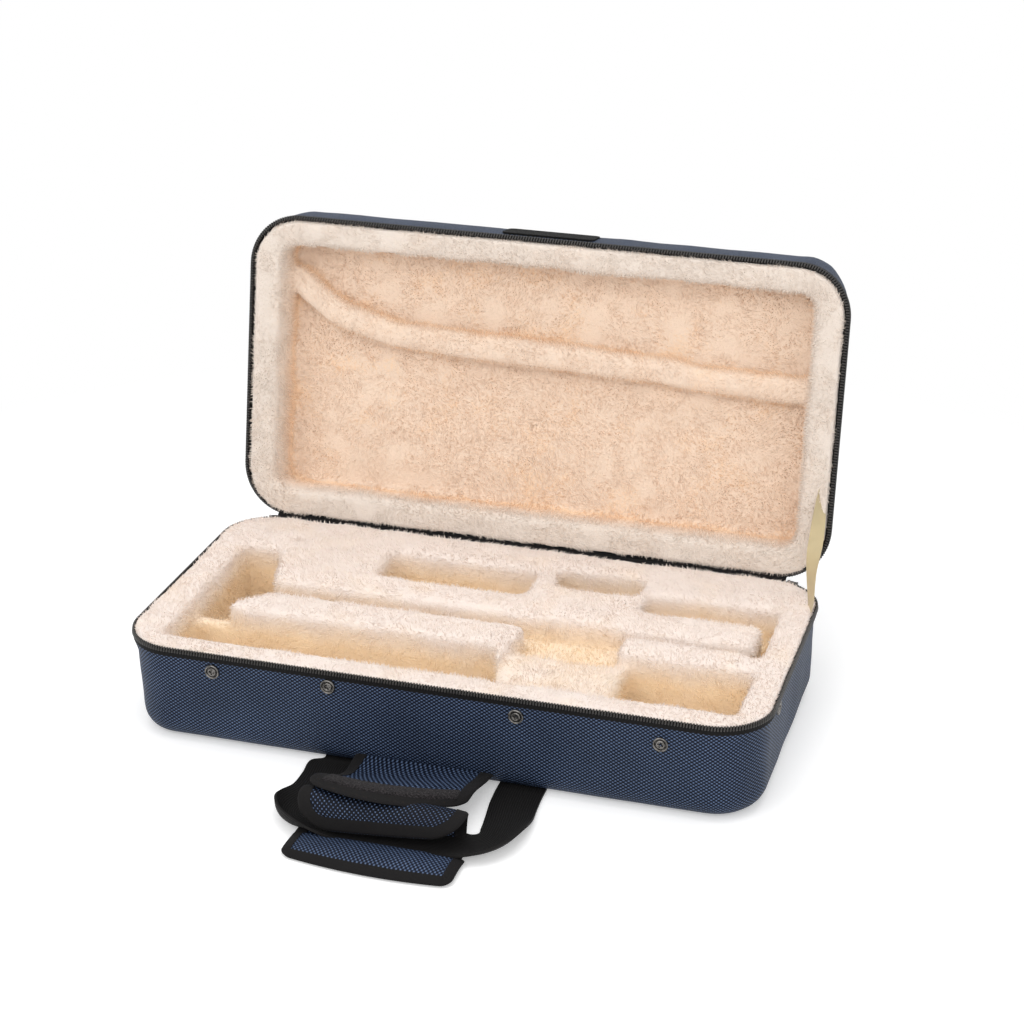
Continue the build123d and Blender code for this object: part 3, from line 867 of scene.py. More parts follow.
# -------------------- outline of the case
@dataclass(frozen=True)
class Outline:
    """Rounded plan of the case, walked from the middle of the front, positive to the right."""

    half_x: float = LENGTH / 2
    half_y: float = WIDTH / 2
    corner: float = CORNER

    @property
    def flat_x(self) -> float:
        """Half length of the straight front."""
        return self.half_x - self.corner

    @property
    def flat_y(self) -> float:
        """Half length of a straight end."""
        return self.half_y - self.corner

    @property
    def to_back(self) -> float:
        """Walk from the front's middle to where the straight back starts."""
        return self.flat_x + math.pi * self.corner + 2 * self.flat_y

    def walk(self, x: float, y: float, side: float) -> float:
        """Distance walked to the point of the outline nearest (x, y).

        Args:
            x: place along the length.
            y: place along the width.
            side: sign that says which way round, for points on the back.

        Returns:
            The walk in metres, negative to the left.
        """
        ax = abs(x)
        quarter = math.pi / 2 * self.corner
        if ax <= self.flat_x and y < 0:
            return math.copysign(ax, side)
        if ax <= self.flat_x:
            return math.copysign(self.to_back + self.flat_x - ax, side)
        if y < -self.flat_y:
            turn = math.atan2(ax - self.flat_x, -(y + self.flat_y))
            return math.copysign(self.flat_x + self.corner * turn, side)
        if y <= self.flat_y:
            return math.copysign(self.flat_x + quarter + y + self.flat_y, side)
        turn = math.atan2(y - self.flat_y, ax - self.flat_x)
        return math.copysign(self.flat_x + quarter + 2 * self.flat_y + self.corner * turn, side)

    def outside(self, x: np.ndarray, y: np.ndarray) -> np.ndarray:
        """Distance from places to the outline.

        Args:
            x: places along the length.
            y: places along the width.

        Returns:
            Distances, negative inside the outline.
        """
        qx, qy = np.abs(x) - self.flat_x, np.abs(y) - self.flat_y
        round_part = np.hypot(np.maximum(qx, 0), np.maximum(qy, 0))
        return round_part + np.minimum(np.maximum(qx, qy), 0) - self.corner

    def outward(self, x: np.ndarray, y: np.ndarray) -> np.ndarray:
        """Way out of the outline.

        Args:
            x: places along the length.
            y: places along the width.

        Returns:
            Rows of x and y, each of length 1.
        """
        step = 0.1 * MM
        across = self.outside(x + step, y) - self.outside(x - step, y)
        along = self.outside(x, y + step) - self.outside(x, y - step)
        return np.stack((across, along), axis=1) / (2 * step)

    def point(self, walk: float) -> Vector:
        """Point of the outline after a walk from the front's middle.

        Args:
            walk: how far, negative to the left.

        Returns:
            The point, at height 0.
        """
        side, rest = math.copysign(1.0, walk), abs(walk)
        quarter = math.pi / 2 * self.corner
        if rest <= self.flat_x:
            return Vector((side * rest, -self.half_y, 0))
        rest -= self.flat_x
        if rest <= quarter:
            turn = rest / self.corner
            x = self.flat_x + self.corner * math.sin(turn)
            return Vector((side * x, -self.flat_y - self.corner * math.cos(turn), 0))
        rest -= quarter
        if rest <= 2 * self.flat_y:
            return Vector((side * self.half_x, rest - self.flat_y, 0))
        rest -= 2 * self.flat_y
        if rest <= quarter:
            turn = rest / self.corner
            x = self.flat_x + self.corner * math.cos(turn)
            return Vector((side * x, self.flat_y + self.corner * math.sin(turn), 0))
        rest -= quarter
        return Vector((side * (self.flat_x - rest), self.half_y, 0))


OUTLINE = Outline()


def moved(places: np.ndarray, matrix: Matrix) -> np.ndarray:
    """Places after a matrix."""
    turn = np.array(matrix)
    return places @ turn[:3, :3].T + turn[:3, 3]


# how far an end draws in, mm: its lip and its fall, each at the left and the right end
END_DRAWS = {"base": ((4.6, 2.6), (3.4, 0.3)), "lid": ((4.6, 4.6), (5.5, 5.5))}


@dataclass(frozen=True)
class EndTaper:
    """How the two ends of the case draw in: a lip beside the zip, then a slow fall down the wall."""

    lip_from: float = 8.5 * MM  # depths from the rim
    lip_to: float = 15 * MM
    fall_to: float = 62 * MM
    reach: float = 45 * MM  # along the case, from the end wall to where nothing is drawn in
    most: float = 1.05  # share by which a place just outside the end wall is drawn in

    def inset(self, depth: np.ndarray | float, body: str, right: np.ndarray | bool) -> np.ndarray:
        """How far an end wall comes in.

        Args:
            depth: distance from the rim.
            body: base or lid.
            right: whether it is the right end.

        Returns:
            The inset for each depth.
        """
        lip, fall = (np.where(right, ends[1], ends[0]) * MM for ends in END_DRAWS[body])
        share = np.clip((depth - self.lip_from) / (self.lip_to - self.lip_from), 0, 1)
        rest = np.clip((depth - self.lip_to) / (self.fall_to - self.lip_to), 0, 1)
        return lip * share * share * (3 - 2 * share) + fall * rest

    def draw_in(self, piece: Piece, body: str) -> None:
        """Draws a finished piece in with the ends.

        Args:
            piece: the piece, in its place at rest.
            body: base or lid.
        """
        places = moved(points_of(piece), CASE_FRAME[body])
        near = np.clip((np.abs(places[:, 0]) - OUTLINE.half_x) / self.reach + 1, 0, self.most)
        inset = self.inset(np.abs(places[:, 2] - RIM), body, places[:, 0] > 0)
        places[:, 0] -= np.sign(places[:, 0]) * inset * near
        set_points(piece, moved(places, CASE_FRAME[body].inverted()))


TAPER = EndTaper()


# -------------------- woven covers
@dataclass
class Cover:
    """Woven side band of one half of the case, drawn rim up."""

    name: str
    height: float  # panel to rim
    finish: Finish
    body: str
    replaced: tuple[str, ...]
    tape: float = 8.8 * MM  # zip above the band
    thickness: float = 1.2 * MM
    slack: float = 0.9 * MM  # how far the cloth stands off between its seams
    fullness: float = 0.7  # how soon the slack grows from a seam: less is sooner
    ripple_scale: Triple = (22, 22, 9)  # lumps in a metre
    crease: float = 0.5 * MM
    crease_scale: Triple = (70, 70, 40)
    step: float = 9 * MM  # cells of the cloth
    corner_cells: int = 14
    edge_cells: int = 8

    def build(self) -> Piece:
        """Bevelled block, opened top and bottom, slackened and given its cloth thickness.

        Returns:
            The cover.
        """
        top = self.height - self.tape
        piece = box(self.name, (-LENGTH / 2, -WIDTH / 2, 0), (LENGTH / 2, WIDTH / 2, top))
        edit(piece, "EDGE")
        choose(piece, "edges", lambda edge: self._axis(piece, edge) == 2)
        bpy.ops.mesh.bevel(offset=CORNER, segments=self.corner_cells, affect="EDGES")
        choose(piece, "polygons", lambda face: face.normal.z < -0.9)
        bpy.ops.mesh.region_to_loop()
        bpy.ops.mesh.bevel(offset=EDGE, segments=self.edge_cells, affect="EDGES")
        choose(piece, "polygons", lambda face: abs(face.normal.z) > 0.995)
        bpy.ops.mesh.delete(type="FACE")
        self._cut(top)
        done_editing()
        self._slacken(piece, top)
        self._unroll(piece)
        finish_with(piece, "SOLIDIFY", thickness=self.thickness, offset=-1.0)
        if self.body == "lid":
            turned = Matrix.Translation((0, 0, RIM + LID_HEIGHT)) @ Matrix.Rotation(math.pi, 4, "X")
            piece.data.transform(turned)
            open_lid(piece)
        TAPER.draw_in(piece, self.body)
        smooth_shade(piece)
        return deliver(piece, self.body, self.finish, self.replaced)

    @staticmethod
    def _axis(piece: Piece, edge: bpy.types.MeshEdge) -> int:
        """Axis that an edge runs along.

        Args:
            piece: the piece that the edge belongs to.
            edge: the edge.

        Returns:
            Its number: 0, 1 or 2.
        """
        one, other = (piece.data.vertices[i].co for i in edge.vertices)
        run = [abs(c) for c in other - one]
        return run.index(max(run))

    def _cut(self, top: float) -> None:
        """Cuts the band in edit mode into cells along its length, its width and its height.

        Args:
            top: height of its upper seam.
        """
        rows = max(2, round((top - EDGE) / self.step))
        levels = [EDGE + (top - EDGE) * i / rows for i in range(1, rows)]
        cuts = (self._steps(OUTLINE.flat_x), self._steps(OUTLINE.flat_y), levels)
        for way, places in zip(Matrix.Identity(3), cuts):
            for place in places:
                cut_across(way * place, way)

    def _steps(self, half: float) -> list[float]:
        """Even cuts across a straight wall, given half of its length."""
        count = 2 * round(half / self.step)
        return [half * (2 * i / count - 1) for i in range(count + 1)]

    def _slacken(self, piece: Piece, top: float) -> None:
        """Lets the cloth stand off and ripple a little between its seams.

        Args:
            piece: the band, drawn rim up.
            top: height of its upper seam.
        """
        own = np.array((0, 0, 3.0 * (self.body == "lid")))  # the lid ripples in its own way
        places, outward = points_of(piece), normals_of(piece)
        for i, place in enumerate(places):
            free = math.sin(math.pi * min(max(place[2] / top, 0.0), 1.0)) ** self.fullness
            ripple = noise.noise(place * self.ripple_scale + own)
            crease = noise.noise(place * self.crease_scale)
            past_x, past_y = abs(place[0]) - OUTLINE.flat_x, abs(place[1]) - OUTLINE.flat_y
            at_corner = 0.0
            if past_x > 0 and past_y > 0:
                at_corner = max(0.0, 1 - abs(math.hypot(past_x, past_y) - CORNER) / CORNER)
            amount = self.slack * (0.7 + ripple) + self.crease * crease * (0.4 + at_corner)
            places[i] += outward[i] * (free * amount)
        set_points(piece, places)

    def _unroll(self, piece: Piece) -> None:
        """UV map in metres: the walk round the case and the height up the wall.

        Args:
            piece: the band, drawn rim up.
        """
        layer = piece.data.uv_layers[0]
        for face in piece.data.polygons:
            side = face.center.x or 1.0
            for loop in face.loop_indices:
                x, y, z = piece.data.vertices[piece.data.loops[loop].vertex_index].co
                along = OUTLINE.walk(x, y, side)
                bend = min(max((EDGE - z) / EDGE, 0.0), 1.0)
                layer.data[loop].uv = (along, max(z, EDGE) - EDGE * math.asin(bend))


# -------------------- zip
@dataclass
class ZipRow:
    """One row of coil turns round the rim of one half."""

    name: str
    finish: Finish
    body: str
    replaced: tuple[str, ...]
    pitch: float = 2.5 * MM
    turn_height: float = 4.6 * MM
    turn_width: float = 1.5 * MM
    turn_depth: float = 1.9 * MM
    proud: float = 0.35 * MM  # middle of the turns out from the wall
    below_rim: float = 0.25 * MM
    rounding: float = 0.36  # of a turn's edges, as a share of its width
    lean: float = math.radians(9)  # of the turns along the row
    tilt: float = math.radians(10)  # of the turns over the rim
    path_steps: int = 480

    def build(self) -> Piece:
        """Models one turn, repeats it and bends the row round the case.

        Returns:
            The row.
        """
        half = Vector((self.turn_width, self.turn_depth, self.turn_height)) / 2
        piece = box(self.name, -half, half)
        edit(piece, "EDGE")
        bpy.ops.mesh.select_all(action="SELECT")
        bpy.ops.mesh.bevel(offset=self.turn_width * self.rounding, segments=2, affect="EDGES")
        done_editing()
        lean = Matrix.Rotation(self.lean, 4, "Y")
        foot = Matrix.Translation((0, 0, self.turn_height / 2))
        over = foot.inverted() @ Matrix.Rotation(-self.tilt, 4, "X") @ foot
        lift = self.turn_height * (1 - math.cos(self.tilt))
        piece.data.transform(Matrix.Translation((self.pitch / 2, -self.proud, lift)) @ over @ lean)
        count = int(2 * OUTLINE.to_back / self.pitch)
        finish_with(
            piece, "ARRAY", count=count, use_relative_offset=False, use_constant_offset=True,
            constant_offset_displace=(self.pitch, 0, 0),
        )
        path = self._path(RIM - self.below_rim - self.turn_height / 2)
        finish_with(piece, "CURVE", object=path, deform_axis="POS_X")
        bpy.data.objects.remove(path)
        if self.body == "lid":
            piece.data.transform(Matrix.Translation((0, 0, 2 * RIM)) @ Matrix.Rotation(math.pi, 4, "X"))
            piece.data.transform(Matrix.Rotation(math.pi, 4, "Z"))  # its gap faces the hinge again
            open_lid(piece)
        smooth_shade(piece, 70)
        return deliver(piece, self.body, self.finish, self.replaced)

    def _path(self, height: float) -> Piece:
        """Curve round the rim, from one end of the hinge to the other.

        Args:
            height: height of the curve.

        Returns:
            The curve's object.
        """
        data = bpy.data.curves.new("rim_path", "CURVE")
        data.dimensions = "3D"
        data.twist_mode = "Z_UP"
        spline = data.splines.new("POLY")
        spline.points.add(self.path_steps)
        for i, point in enumerate(spline.points):
            place = OUTLINE.point(OUTLINE.to_back * (2 * i / self.path_steps - 1))
            point.co = (place.x, place.y, height, 1.0)
        return linked(bpy.data.objects.new("rim_path", data))


# -------------------- plush
@dataclass
class Plush:
    """Plush of one half: the soft skin over its carved foam, and the pile that stands on it."""

    name: str
    nodes: tuple[str, ...]
    finish: Finish
    body: str
    voxel: float = 2.2 * MM
    rounds: int = 60  # of smoothing
    wall_depth: float = 3 * MM  # outer skin that is hardly softened
    wall_fade: float = 7 * MM  # and the change from it to the hollow
    wall_softness: float = 0.12
    puff: float = 1.4 * MM
    puff_shares: Pair = (0.45, 0.5)  # even and slowly varying
    puff_scale: float = 18
    lump: float = 1.0 * MM
    lump_scale: float = 48
    tuft_relief: float = 0.4 * MM
    tuft_noises: tuple[Pair, ...] = ((160, 0.6), (330, 0.4))  # scale and share
    deepest: float = 50 * MM
    deep_pile: float = 10 * MM  # extra pile on the deepest floors of the base
    tufts: int = 64_000
    tuft_length: float = 3.4 * MM
    tuft_width: float = 1.1 * MM
    tuft_sizes: Pair = (0.6, 1.15)
    # scale and amount of the noises that the tufts lean by
    leans: tuple[Pair, ...] = ((8.0, 1.5), (45.0, 2.0), (900.0, 1.1))
    rim_band: float = 9 * MM  # along the wall, where only faces that look up have pile
    zip_room: float = 0.5 * MM
    zip_band: Pair = (9 * MM, 12 * MM)  # drawn in for the zip: inward and down
    hinge_band: Pair = (30 * MM, 20 * MM)  # from the back wall, and the change
    hinge_share: float = 0.75  # of the room beside the zip that the hinge's side does without
    wall_gap: float = 1.3 * MM  # tips stay this far inside the zip
    above_rim: float = 2.4 * MM
    give: float = 3.2 * MM  # depth of give for the plush
    ragged: float = 0.3  # least share of the gap that a tip keeps
    seed: int = 4

    @property
    def to_case(self) -> Matrix:
        """Takes this half's places to the closed case."""
        return CASE_FRAME[self.body]

    @property
    def away(self) -> float:
        """Which way the hollow faces in the closed case."""
        return -1.0 if self.body == "lid" else 1.0

    def build(self) -> None:
        """Builds the soft block, then its pile."""
        ground = self.ground()
        self.pile(ground)

    def ground(self) -> Piece:
        """Joins the carved blocks and their lining, softens them and puffs the skin.

        Returns:
            The plush without its pile.
        """
        piece = self._gather()
        finish_with(piece, "REMESH", mode="VOXEL", voxel_size=self.voxel)
        self._hold_walls(piece)
        finish_with(piece, "SMOOTH", factor=0.5, iterations=self.rounds, vertex_group="soft")
        self._puff(piece)
        self._open_zip(piece)
        TAPER.draw_in(piece, self.body)
        smooth_shade(piece, 180)
        deliver(piece, self.body, self.finish, self.nodes)
        return self._press(piece)

    def _press(self, piece: Piece) -> Piece:
        """Gives the plush or its pile its own copy of its mesh.

        Args:
            piece: the plush or its pile.

        Returns:
            The same piece.
        """
        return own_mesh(piece)

    def _gather(self) -> Piece:
        """One mesh from copies of the CAD blocks.

        Returns:
            The mesh's object.
        """
        piece = joined([copied(self.name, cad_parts[node]) for node in self.nodes])
        piece.name = self.name + "_plush"
        merge_doubles(piece)
        done_editing()
        return piece

    def _in_case(self, places: np.ndarray) -> np.ndarray:
        """Places taken to the closed case."""
        return moved(places, self.to_case)

    def _hold_walls(self, piece: Piece) -> None:
        """Weights that soften the hollow fully and the outer walls little.

        Args:
            piece: the joined plush.
        """
        group = piece.vertex_groups.new(name="soft")
        places = self._in_case(points_of(piece))
        inside = -OUTLINE.outside(places[:, 0], places[:, 1])
        weights = np.clip((inside - self.wall_depth) / self.wall_fade, self.wall_softness, 1.0)
        for i, weight in enumerate(weights):
            group.add([i], float(weight), "REPLACE")

    def _puff(self, piece: Piece) -> None:
        """Swells the skin and parts its pile in soft tufts.

        Args:
            piece: the softened plush.
        """
        even, uneven = self.puff_shares
        places, outward = points_of(piece), normals_of(piece)
        depths = RIM - self._in_case(places)[:, 2]
        for i, place in enumerate(places):
            at = Vector(place)
            swell = self.puff * (even + uneven * noise.noise(at * self.puff_scale))
            lump = noise.noise(at * self.lump_scale) * self.lump
            tuft = sum(noise.noise(at * scale) * share for scale, share in self.tuft_noises)
            deep = max(depths[i], 0.0) / self.deepest if self.body == "base" else 0.0
            lift = self.deep_pile * deep * max(outward[i][2], 0.0)
            places[i] += outward[i] * (swell + lump + self.tuft_relief * tuft + lift)
        set_points(piece, places)

    def _open_zip(self, piece: Piece) -> None:
        """Draws the plush in from the walls at the rim, so that the zip shows beside it.

        Args:
            piece: the puffed plush.
        """
        places = self._in_case(points_of(piece))
        x, y = places[:, 0], places[:, 1]
        inward, down = self.zip_band
        near = np.clip(1 + OUTLINE.outside(x, y) / inward, 0, 1)
        near *= np.clip(1 - np.abs(places[:, 2] - RIM) / down, 0, 1)
        near *= self._off_hinge(y)
        places[:, :2] -= (self.zip_room * near)[:, None] * OUTLINE.outward(x, y)
        set_points(piece, moved(places, self.to_case.inverted()))

    def _off_hinge(self, y: np.ndarray) -> np.ndarray:
        """Share of the room beside the zip that is kept: least along the hinge."""
        start, change = self.hinge_band
        return 1 - self.hinge_share * np.clip((y - WIDTH / 2 + start) / change, 0, 1)

    def pile(self, ground: Piece) -> Piece:
        """Scatters tapered tufts over the ground's open faces and keeps them as one mesh.

        Args:
            ground: the plush that the pile stands on.

        Returns:
            The pile.
        """
        piece = copied(self.name + "_pile", ground)
        area = self._mark_open_faces(piece)
        pick(piece)
        modifier = piece.modifiers.new("Tufts", "NODES")
        modifier.node_group = self._tufts(self.tufts / area)
        bpy.ops.object.modifier_apply(modifier=modifier.name)
        self._trim(piece)
        self._lay_flat(piece)
        deliver(piece, self.body, self.finish)
        return self._press(piece)

    def _mark_open_faces(self, piece: Piece) -> float:
        """Marks the faces that lie open to the hollow or on the rim.

        Args:
            piece: the copy of the ground that the pile is made on.

        Returns:
            Their area.
        """
        faces = piece.data.polygons
        areas = np.empty(len(faces))
        faces.foreach_get("area", areas)
        middles = self._in_case(rows_of(faces, "center"))
        ways = rows_of(faces, "normal") @ np.array(self.to_case)[:3, :3].T
        facing = ways[:, 2] * self.away
        inside = -OUTLINE.outside(middles[:, 0], middles[:, 1])
        shown = (facing > 0.25) | ((inside > self.rim_band) & (facing > -0.3))
        layer = piece.data.attributes.new("shown", "BOOLEAN", "FACE")
        layer.data.foreach_set("value", shown)
        return float(areas[shown].sum())

    def _trim(self, piece: Piece) -> None:
        """Turns the tips at the rim inward and clips them to the pile's height.

        Args:
            piece: the pile.
        """
        places = points_of(piece)
        tufts = self._in_case(places).reshape(-1, 4, 3)
        middle = tufts.mean(axis=1, keepdims=True)
        tip = int(np.linalg.norm(tufts - middle, axis=2).mean(axis=0).argmax())
        x, y = tufts[:, tip, 0], tufts[:, tip, 1]
        gap = np.random.default_rng(self.seed).uniform(self.ragged, 1.0, len(x)) * self.wall_gap
        over = np.maximum(OUTLINE.outside(x, y) + gap * self._off_hinge(y), 0.0)
        tufts[:, tip, :2] -= over[:, None] * OUTLINE.outward(x, y)
        top = RIM + self.away * self.above_rim
        rise = (tufts[:, :, 2] - top) * self.away
        tufts[:, :, 2] -= self.away * np.maximum(rise, 0.0)
        set_points(piece, moved(tufts.reshape(-1, 3), self.to_case.inverted()))

    def _lay_flat(self, piece: Piece) -> None:
        """Flat map named OFBake: the pile as it is seen from above the hollow.

        Args:
            piece: the pile.
        """
        places = self._in_case(points_of(piece))
        corners = np.empty(len(piece.data.loops), dtype=np.int32)
        piece.data.loops.foreach_get("vertex_index", corners)
        flat = 0.5 + 0.98 * places[corners][:, :2] / (LENGTH, WIDTH)
        layer = piece.data.uv_layers.new(name="OFBake")
        layer.data.foreach_set("uv", np.clip(flat, 0.0, 1.0).ravel())

    def _tufts(self, density: float) -> bpy.types.NodeTree:
        """Node group that stands tufts on the marked faces.

        Args:
            density: tufts on a square metre.

        Returns:
            The group.
        """
        tree = bpy.data.node_groups.new(self.name + "_tufts", "GeometryNodeTree")
        for way in ("INPUT", "OUTPUT"):
            tree.interface.new_socket("Geometry", in_out=way, socket_type="NodeSocketGeometry")

        def node(kind: str, *inputs: tuple[object, object], **values: object) -> bpy.types.Node:
            """Adds a node.

            Args:
                kind: its type.
                inputs: socket name or number, and the value or output socket that goes there.
                values: its properties by name.

            Returns:
                The node.
            """
            made = tree.nodes.new(kind)
            for key, value in values.items():
                setattr(made, key, value)
            for target, source in inputs:
                if isinstance(source, Socket):
                    tree.links.new(source, made.inputs[target])
                else:
                    made.inputs[target].default_value = source
            return made

        start, end = node("NodeGroupInput"), node("NodeGroupOutput")
        shown = node("GeometryNodeInputNamedAttribute", ("Name", "shown"), data_type="BOOLEAN")
        scatter = node(
            "GeometryNodeDistributePointsOnFaces", ("Mesh", start.outputs[0]),
            ("Selection", shown.outputs["Attribute"]), ("Density", density), ("Seed", self.seed),
        )
        lean = scatter.outputs["Normal"]
        for scale, amount in self.leans:
            rough = node("ShaderNodeTexNoise", ("Scale", scale), ("Detail", 0.0))
            middle = node(
                "ShaderNodeVectorMath", (0, rough.outputs["Color"]), (1, (0.5,) * 3),
                operation="SUBTRACT",
            )
            total = node(
                "ShaderNodeVectorMath", (0, middle.outputs[0]), (1, (2 * amount,) * 3), (2, lean),
                operation="MULTIPLY_ADD",
            )
            lean = total.outputs[0]
        turn = node("FunctionNodeAlignRotationToVector", ("Vector", lean), axis="Z")
        spin = node("FunctionNodeRandomValue", (3, math.tau), data_type="FLOAT")
        about = node("FunctionNodeAxisAngleToRotation", ("Angle", spin.outputs[1]))
        twist = node(
            "FunctionNodeRotateRotation", (0, turn.outputs[0]), (1, about.outputs[0]),
            rotation_space="LOCAL",
        )
        tuft = node(
            "GeometryNodeMeshCone", ("Vertices", 3), ("Radius Top", 0.0),
            ("Radius Bottom", self.tuft_width / 2), ("Depth", self.tuft_length), fill_type="NONE",
        )
        least, most = self.tuft_sizes
        size = node("FunctionNodeRandomValue", (2, least), (3, most), data_type="FLOAT")
        plant = node(
            "GeometryNodeInstanceOnPoints", ("Points", scatter.outputs["Points"]),
            ("Instance", tuft.outputs["Mesh"]), ("Rotation", twist.outputs[0]),
            ("Scale", size.outputs[1]),
        )
        whole = node("GeometryNodeRealizeInstances", ("Geometry", plant.outputs["Instances"]))
        tree.links.new(whole.outputs["Geometry"], end.inputs[0])
        return tree


# -------------------- boards
@dataclass
class StiffBoards:
    """Boards and outer panels behind the cloth, drawn in at the ends with the covers."""

    finishes: Finishes
    levels: tuple[int, ...] = (9, 12, 15, 20, 26, 33, 41, 50, 60)  # cuts, mm from the rim
    board_angle: float = 30  # edges of the boards that are sharper stay sharp, degrees
    panel_angle: float = 5  # and edges of the flat panels

    def build(self) -> None:
        """Draws every board and flat panel in with the ends."""
        for node in SHELL_BOARDS:
            self.draw_in(node, self.finishes.board, self.levels, self.board_angle)
        for node in FLAT_PANELS:
            self.draw_in(node, self.finishes.panel, (), self.panel_angle)

    def draw_in(self, node: str, finish: Finish, levels: Sequence[int], angle: float) -> None:
        """Copies a CAD board, cuts it across at the levels and draws its ends in.

        Args:
            node: the CAD node.
            finish: its finish.
            levels: heights of the cuts, mm from the rim.
            angle: edges sharper than this stay sharp, degrees.
        """
        body = node.split("_")[0]
        rest = CASE_FRAME[body].inverted()
        side = 1 if body == "lid" else -1
        piece = copied(node + "_drawn_in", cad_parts[node])
        merge_doubles(piece)
        for level in levels:
            place = rest @ Vector((0, 0, RIM + side * level * MM))
            cut_across(place, rest.to_3x3() @ Vector((0, 0, 1)))
        done_editing()
        TAPER.draw_in(piece, body)
        smooth_shade(piece, angle)
        deliver(piece, body, finish, (node,))


# -------------------- screws
@dataclass
class CupScrews:
    """Cover screws in their rolled cup washers, each turned from one profile."""

    finish: Finish
    # place along the wall and distance below the rim, mm
    front: tuple[Pair, ...] = ((-191, 17), (-87, 15), (76, 17), (197, 23))
    end: Pair = (-68, 15)
    seat: float = 0.7 * MM  # off the wall, on the slack cloth
    recess: float = 0.95  # cross recess: half width of an arm, mm
    reach: float = 2.3  # and its length from the centre, mm
    depth: float = 1.3  # and its depth, mm
    narrowing: float = 0.3  # share of an arm's width that is lost at its end
    cells: tuple[int, int] = (72, 34)  # round the screw, and from its rim to its middle
    merge: float = 2e-5  # closes the pole and the seam
    # radius and height in mm, from the rolled edge over the groove to the head's middle
    profile: tuple[Pair, ...] = (
        (6.5, -0.7), (6.6, 0.5), (6.3, 1.25), (5.8, 1.6), (5.2, 1.4), (4.75, 0.8), (4.5, 0.1),
        (4.1, 0.05), (3.9, 0.7), (3.6, 1.35), (3.1, 1.6), (2.6, 1.45), (2.2, 1.15), (1.2, 1.05),
        (0.01, 1.0),
    )

    def build(self) -> Piece:
        """One screw, copied to each of its places.

        Returns:
            The screws.
        """
        radii, heights = zip(*reversed(self.profile))
        inmost = radii[0]

        def place(s: float, t: float) -> Vector:
            """Point round the screw and over its profile."""
            radius = radii[-1] * (1 - t) + inmost
            height = float(np.interp(radius, radii, heights))
            x, y = radius * math.cos(math.tau * s), radius * math.sin(math.tau * s)
            arm, along = sorted((abs(x), abs(y)))
            width = self.recess * (1 - self.narrowing * along / self.reach)
            if arm < width and along < self.reach:
                height -= self.depth
            return Vector((x, y, height)) * MM

        screw = cloth_grid("cup_screw", *self.cells, place)
        merge_doubles(screw, self.merge, turn_out=True)
        done_editing()
        copies = []
        for turn in self._places():
            copy = copied("cup_screws", screw)
            copy.data.transform(turn)
            copies.append(copy)
        bpy.data.objects.remove(screw)
        screws = joined(copies)
        smooth_shade(screws, 40)
        return deliver(screws, "base", self.finish, ("cup_washers", "cover_screws"))

    def _places(self) -> list[Matrix]:
        """Placement of each screw: its axis points out of its wall.

        Returns:
            One matrix for each screw; each cross is turned its own way.
        """
        found = [
            Matrix.Translation((x * MM, -WIDTH / 2 - self.seat, RIM - drop * MM))
            @ Matrix.Rotation(math.pi / 2, 4, "X") @ Matrix.Rotation(0.7 * x, 4, "Z")
            for x, drop in self.front
        ]
        y, drop = self.end
        drawn_in = float(TAPER.inset(drop * MM, "base", True))
        found.append(
            Matrix.Translation((LENGTH / 2 + self.seat - drawn_in, y * MM, RIM - drop * MM))
            @ Matrix.Rotation(math.pi / 2, 4, "Y")
        )
        return found


# -------------------- stay ribbon and hinge
@dataclass
class StayRibbon:
    """Satin stay between base and lid on the right."""

    finish: Finish
    width: float = 13 * MM
    inset: float = 8.5 * MM  # of its ends from the end wall
    base_y: float = 85 * MM
    lid_y: float = 59 * MM
    tucked: float = 6 * MM  # how deep each end goes into its half
    bow: float = 3 * MM
    thickness: float = 0.5 * MM
    cells: tuple[int, int] = (6, 60)
    # place of the middle along the case, mm, twist, degrees, and 0, from the base to the lid
    stations: tuple[Triple, ...] = (
        (275.4, 75, 0), (274.7, 63, 0), (272.4, 53, 0), (270.5, 39, 0), (269.9, 14, 0),
        (269.9, -14, 0), (269.6, -32, 0), (269.2, -50, 0), (268.6, -72, 0),
    )

    def build(self) -> Piece:
        """Bowed and twisted strip, tucked in at both ends.

        Returns:
            The ribbon.
        """
        x = LENGTH / 2 - self.inset
        low = Vector((x, self.base_y, RIM - self.tucked))
        high = LID_OPEN @ Vector((x, self.lid_y, RIM + self.tucked))
        front = Vector((1, 0, 0)).cross((high - low).normalized())

        def place(s: float, t: float) -> Vector:
            """Point across and along the ribbon."""
            along_case, turn, _ = smooth_line(self.stations, t)
            middle = low.lerp(high, t)
            middle.x = along_case * MM
            turn = math.radians(turn)
            across = Vector((math.cos(turn), 0, 0)) + front * math.sin(turn)
            bow = front * self.bow * math.sin(math.pi * t)
            return middle + across * (s - 0.5) * self.width - bow

        piece = cloth_grid("stay_ribbon_cloth", *self.cells, place)
        finish_with(piece, "SOLIDIFY", thickness=self.thickness, offset=0.0)
        smooth_shade(piece)
        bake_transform(piece)
        return deliver(piece, "", self.finish, ("stay_ribbon",))


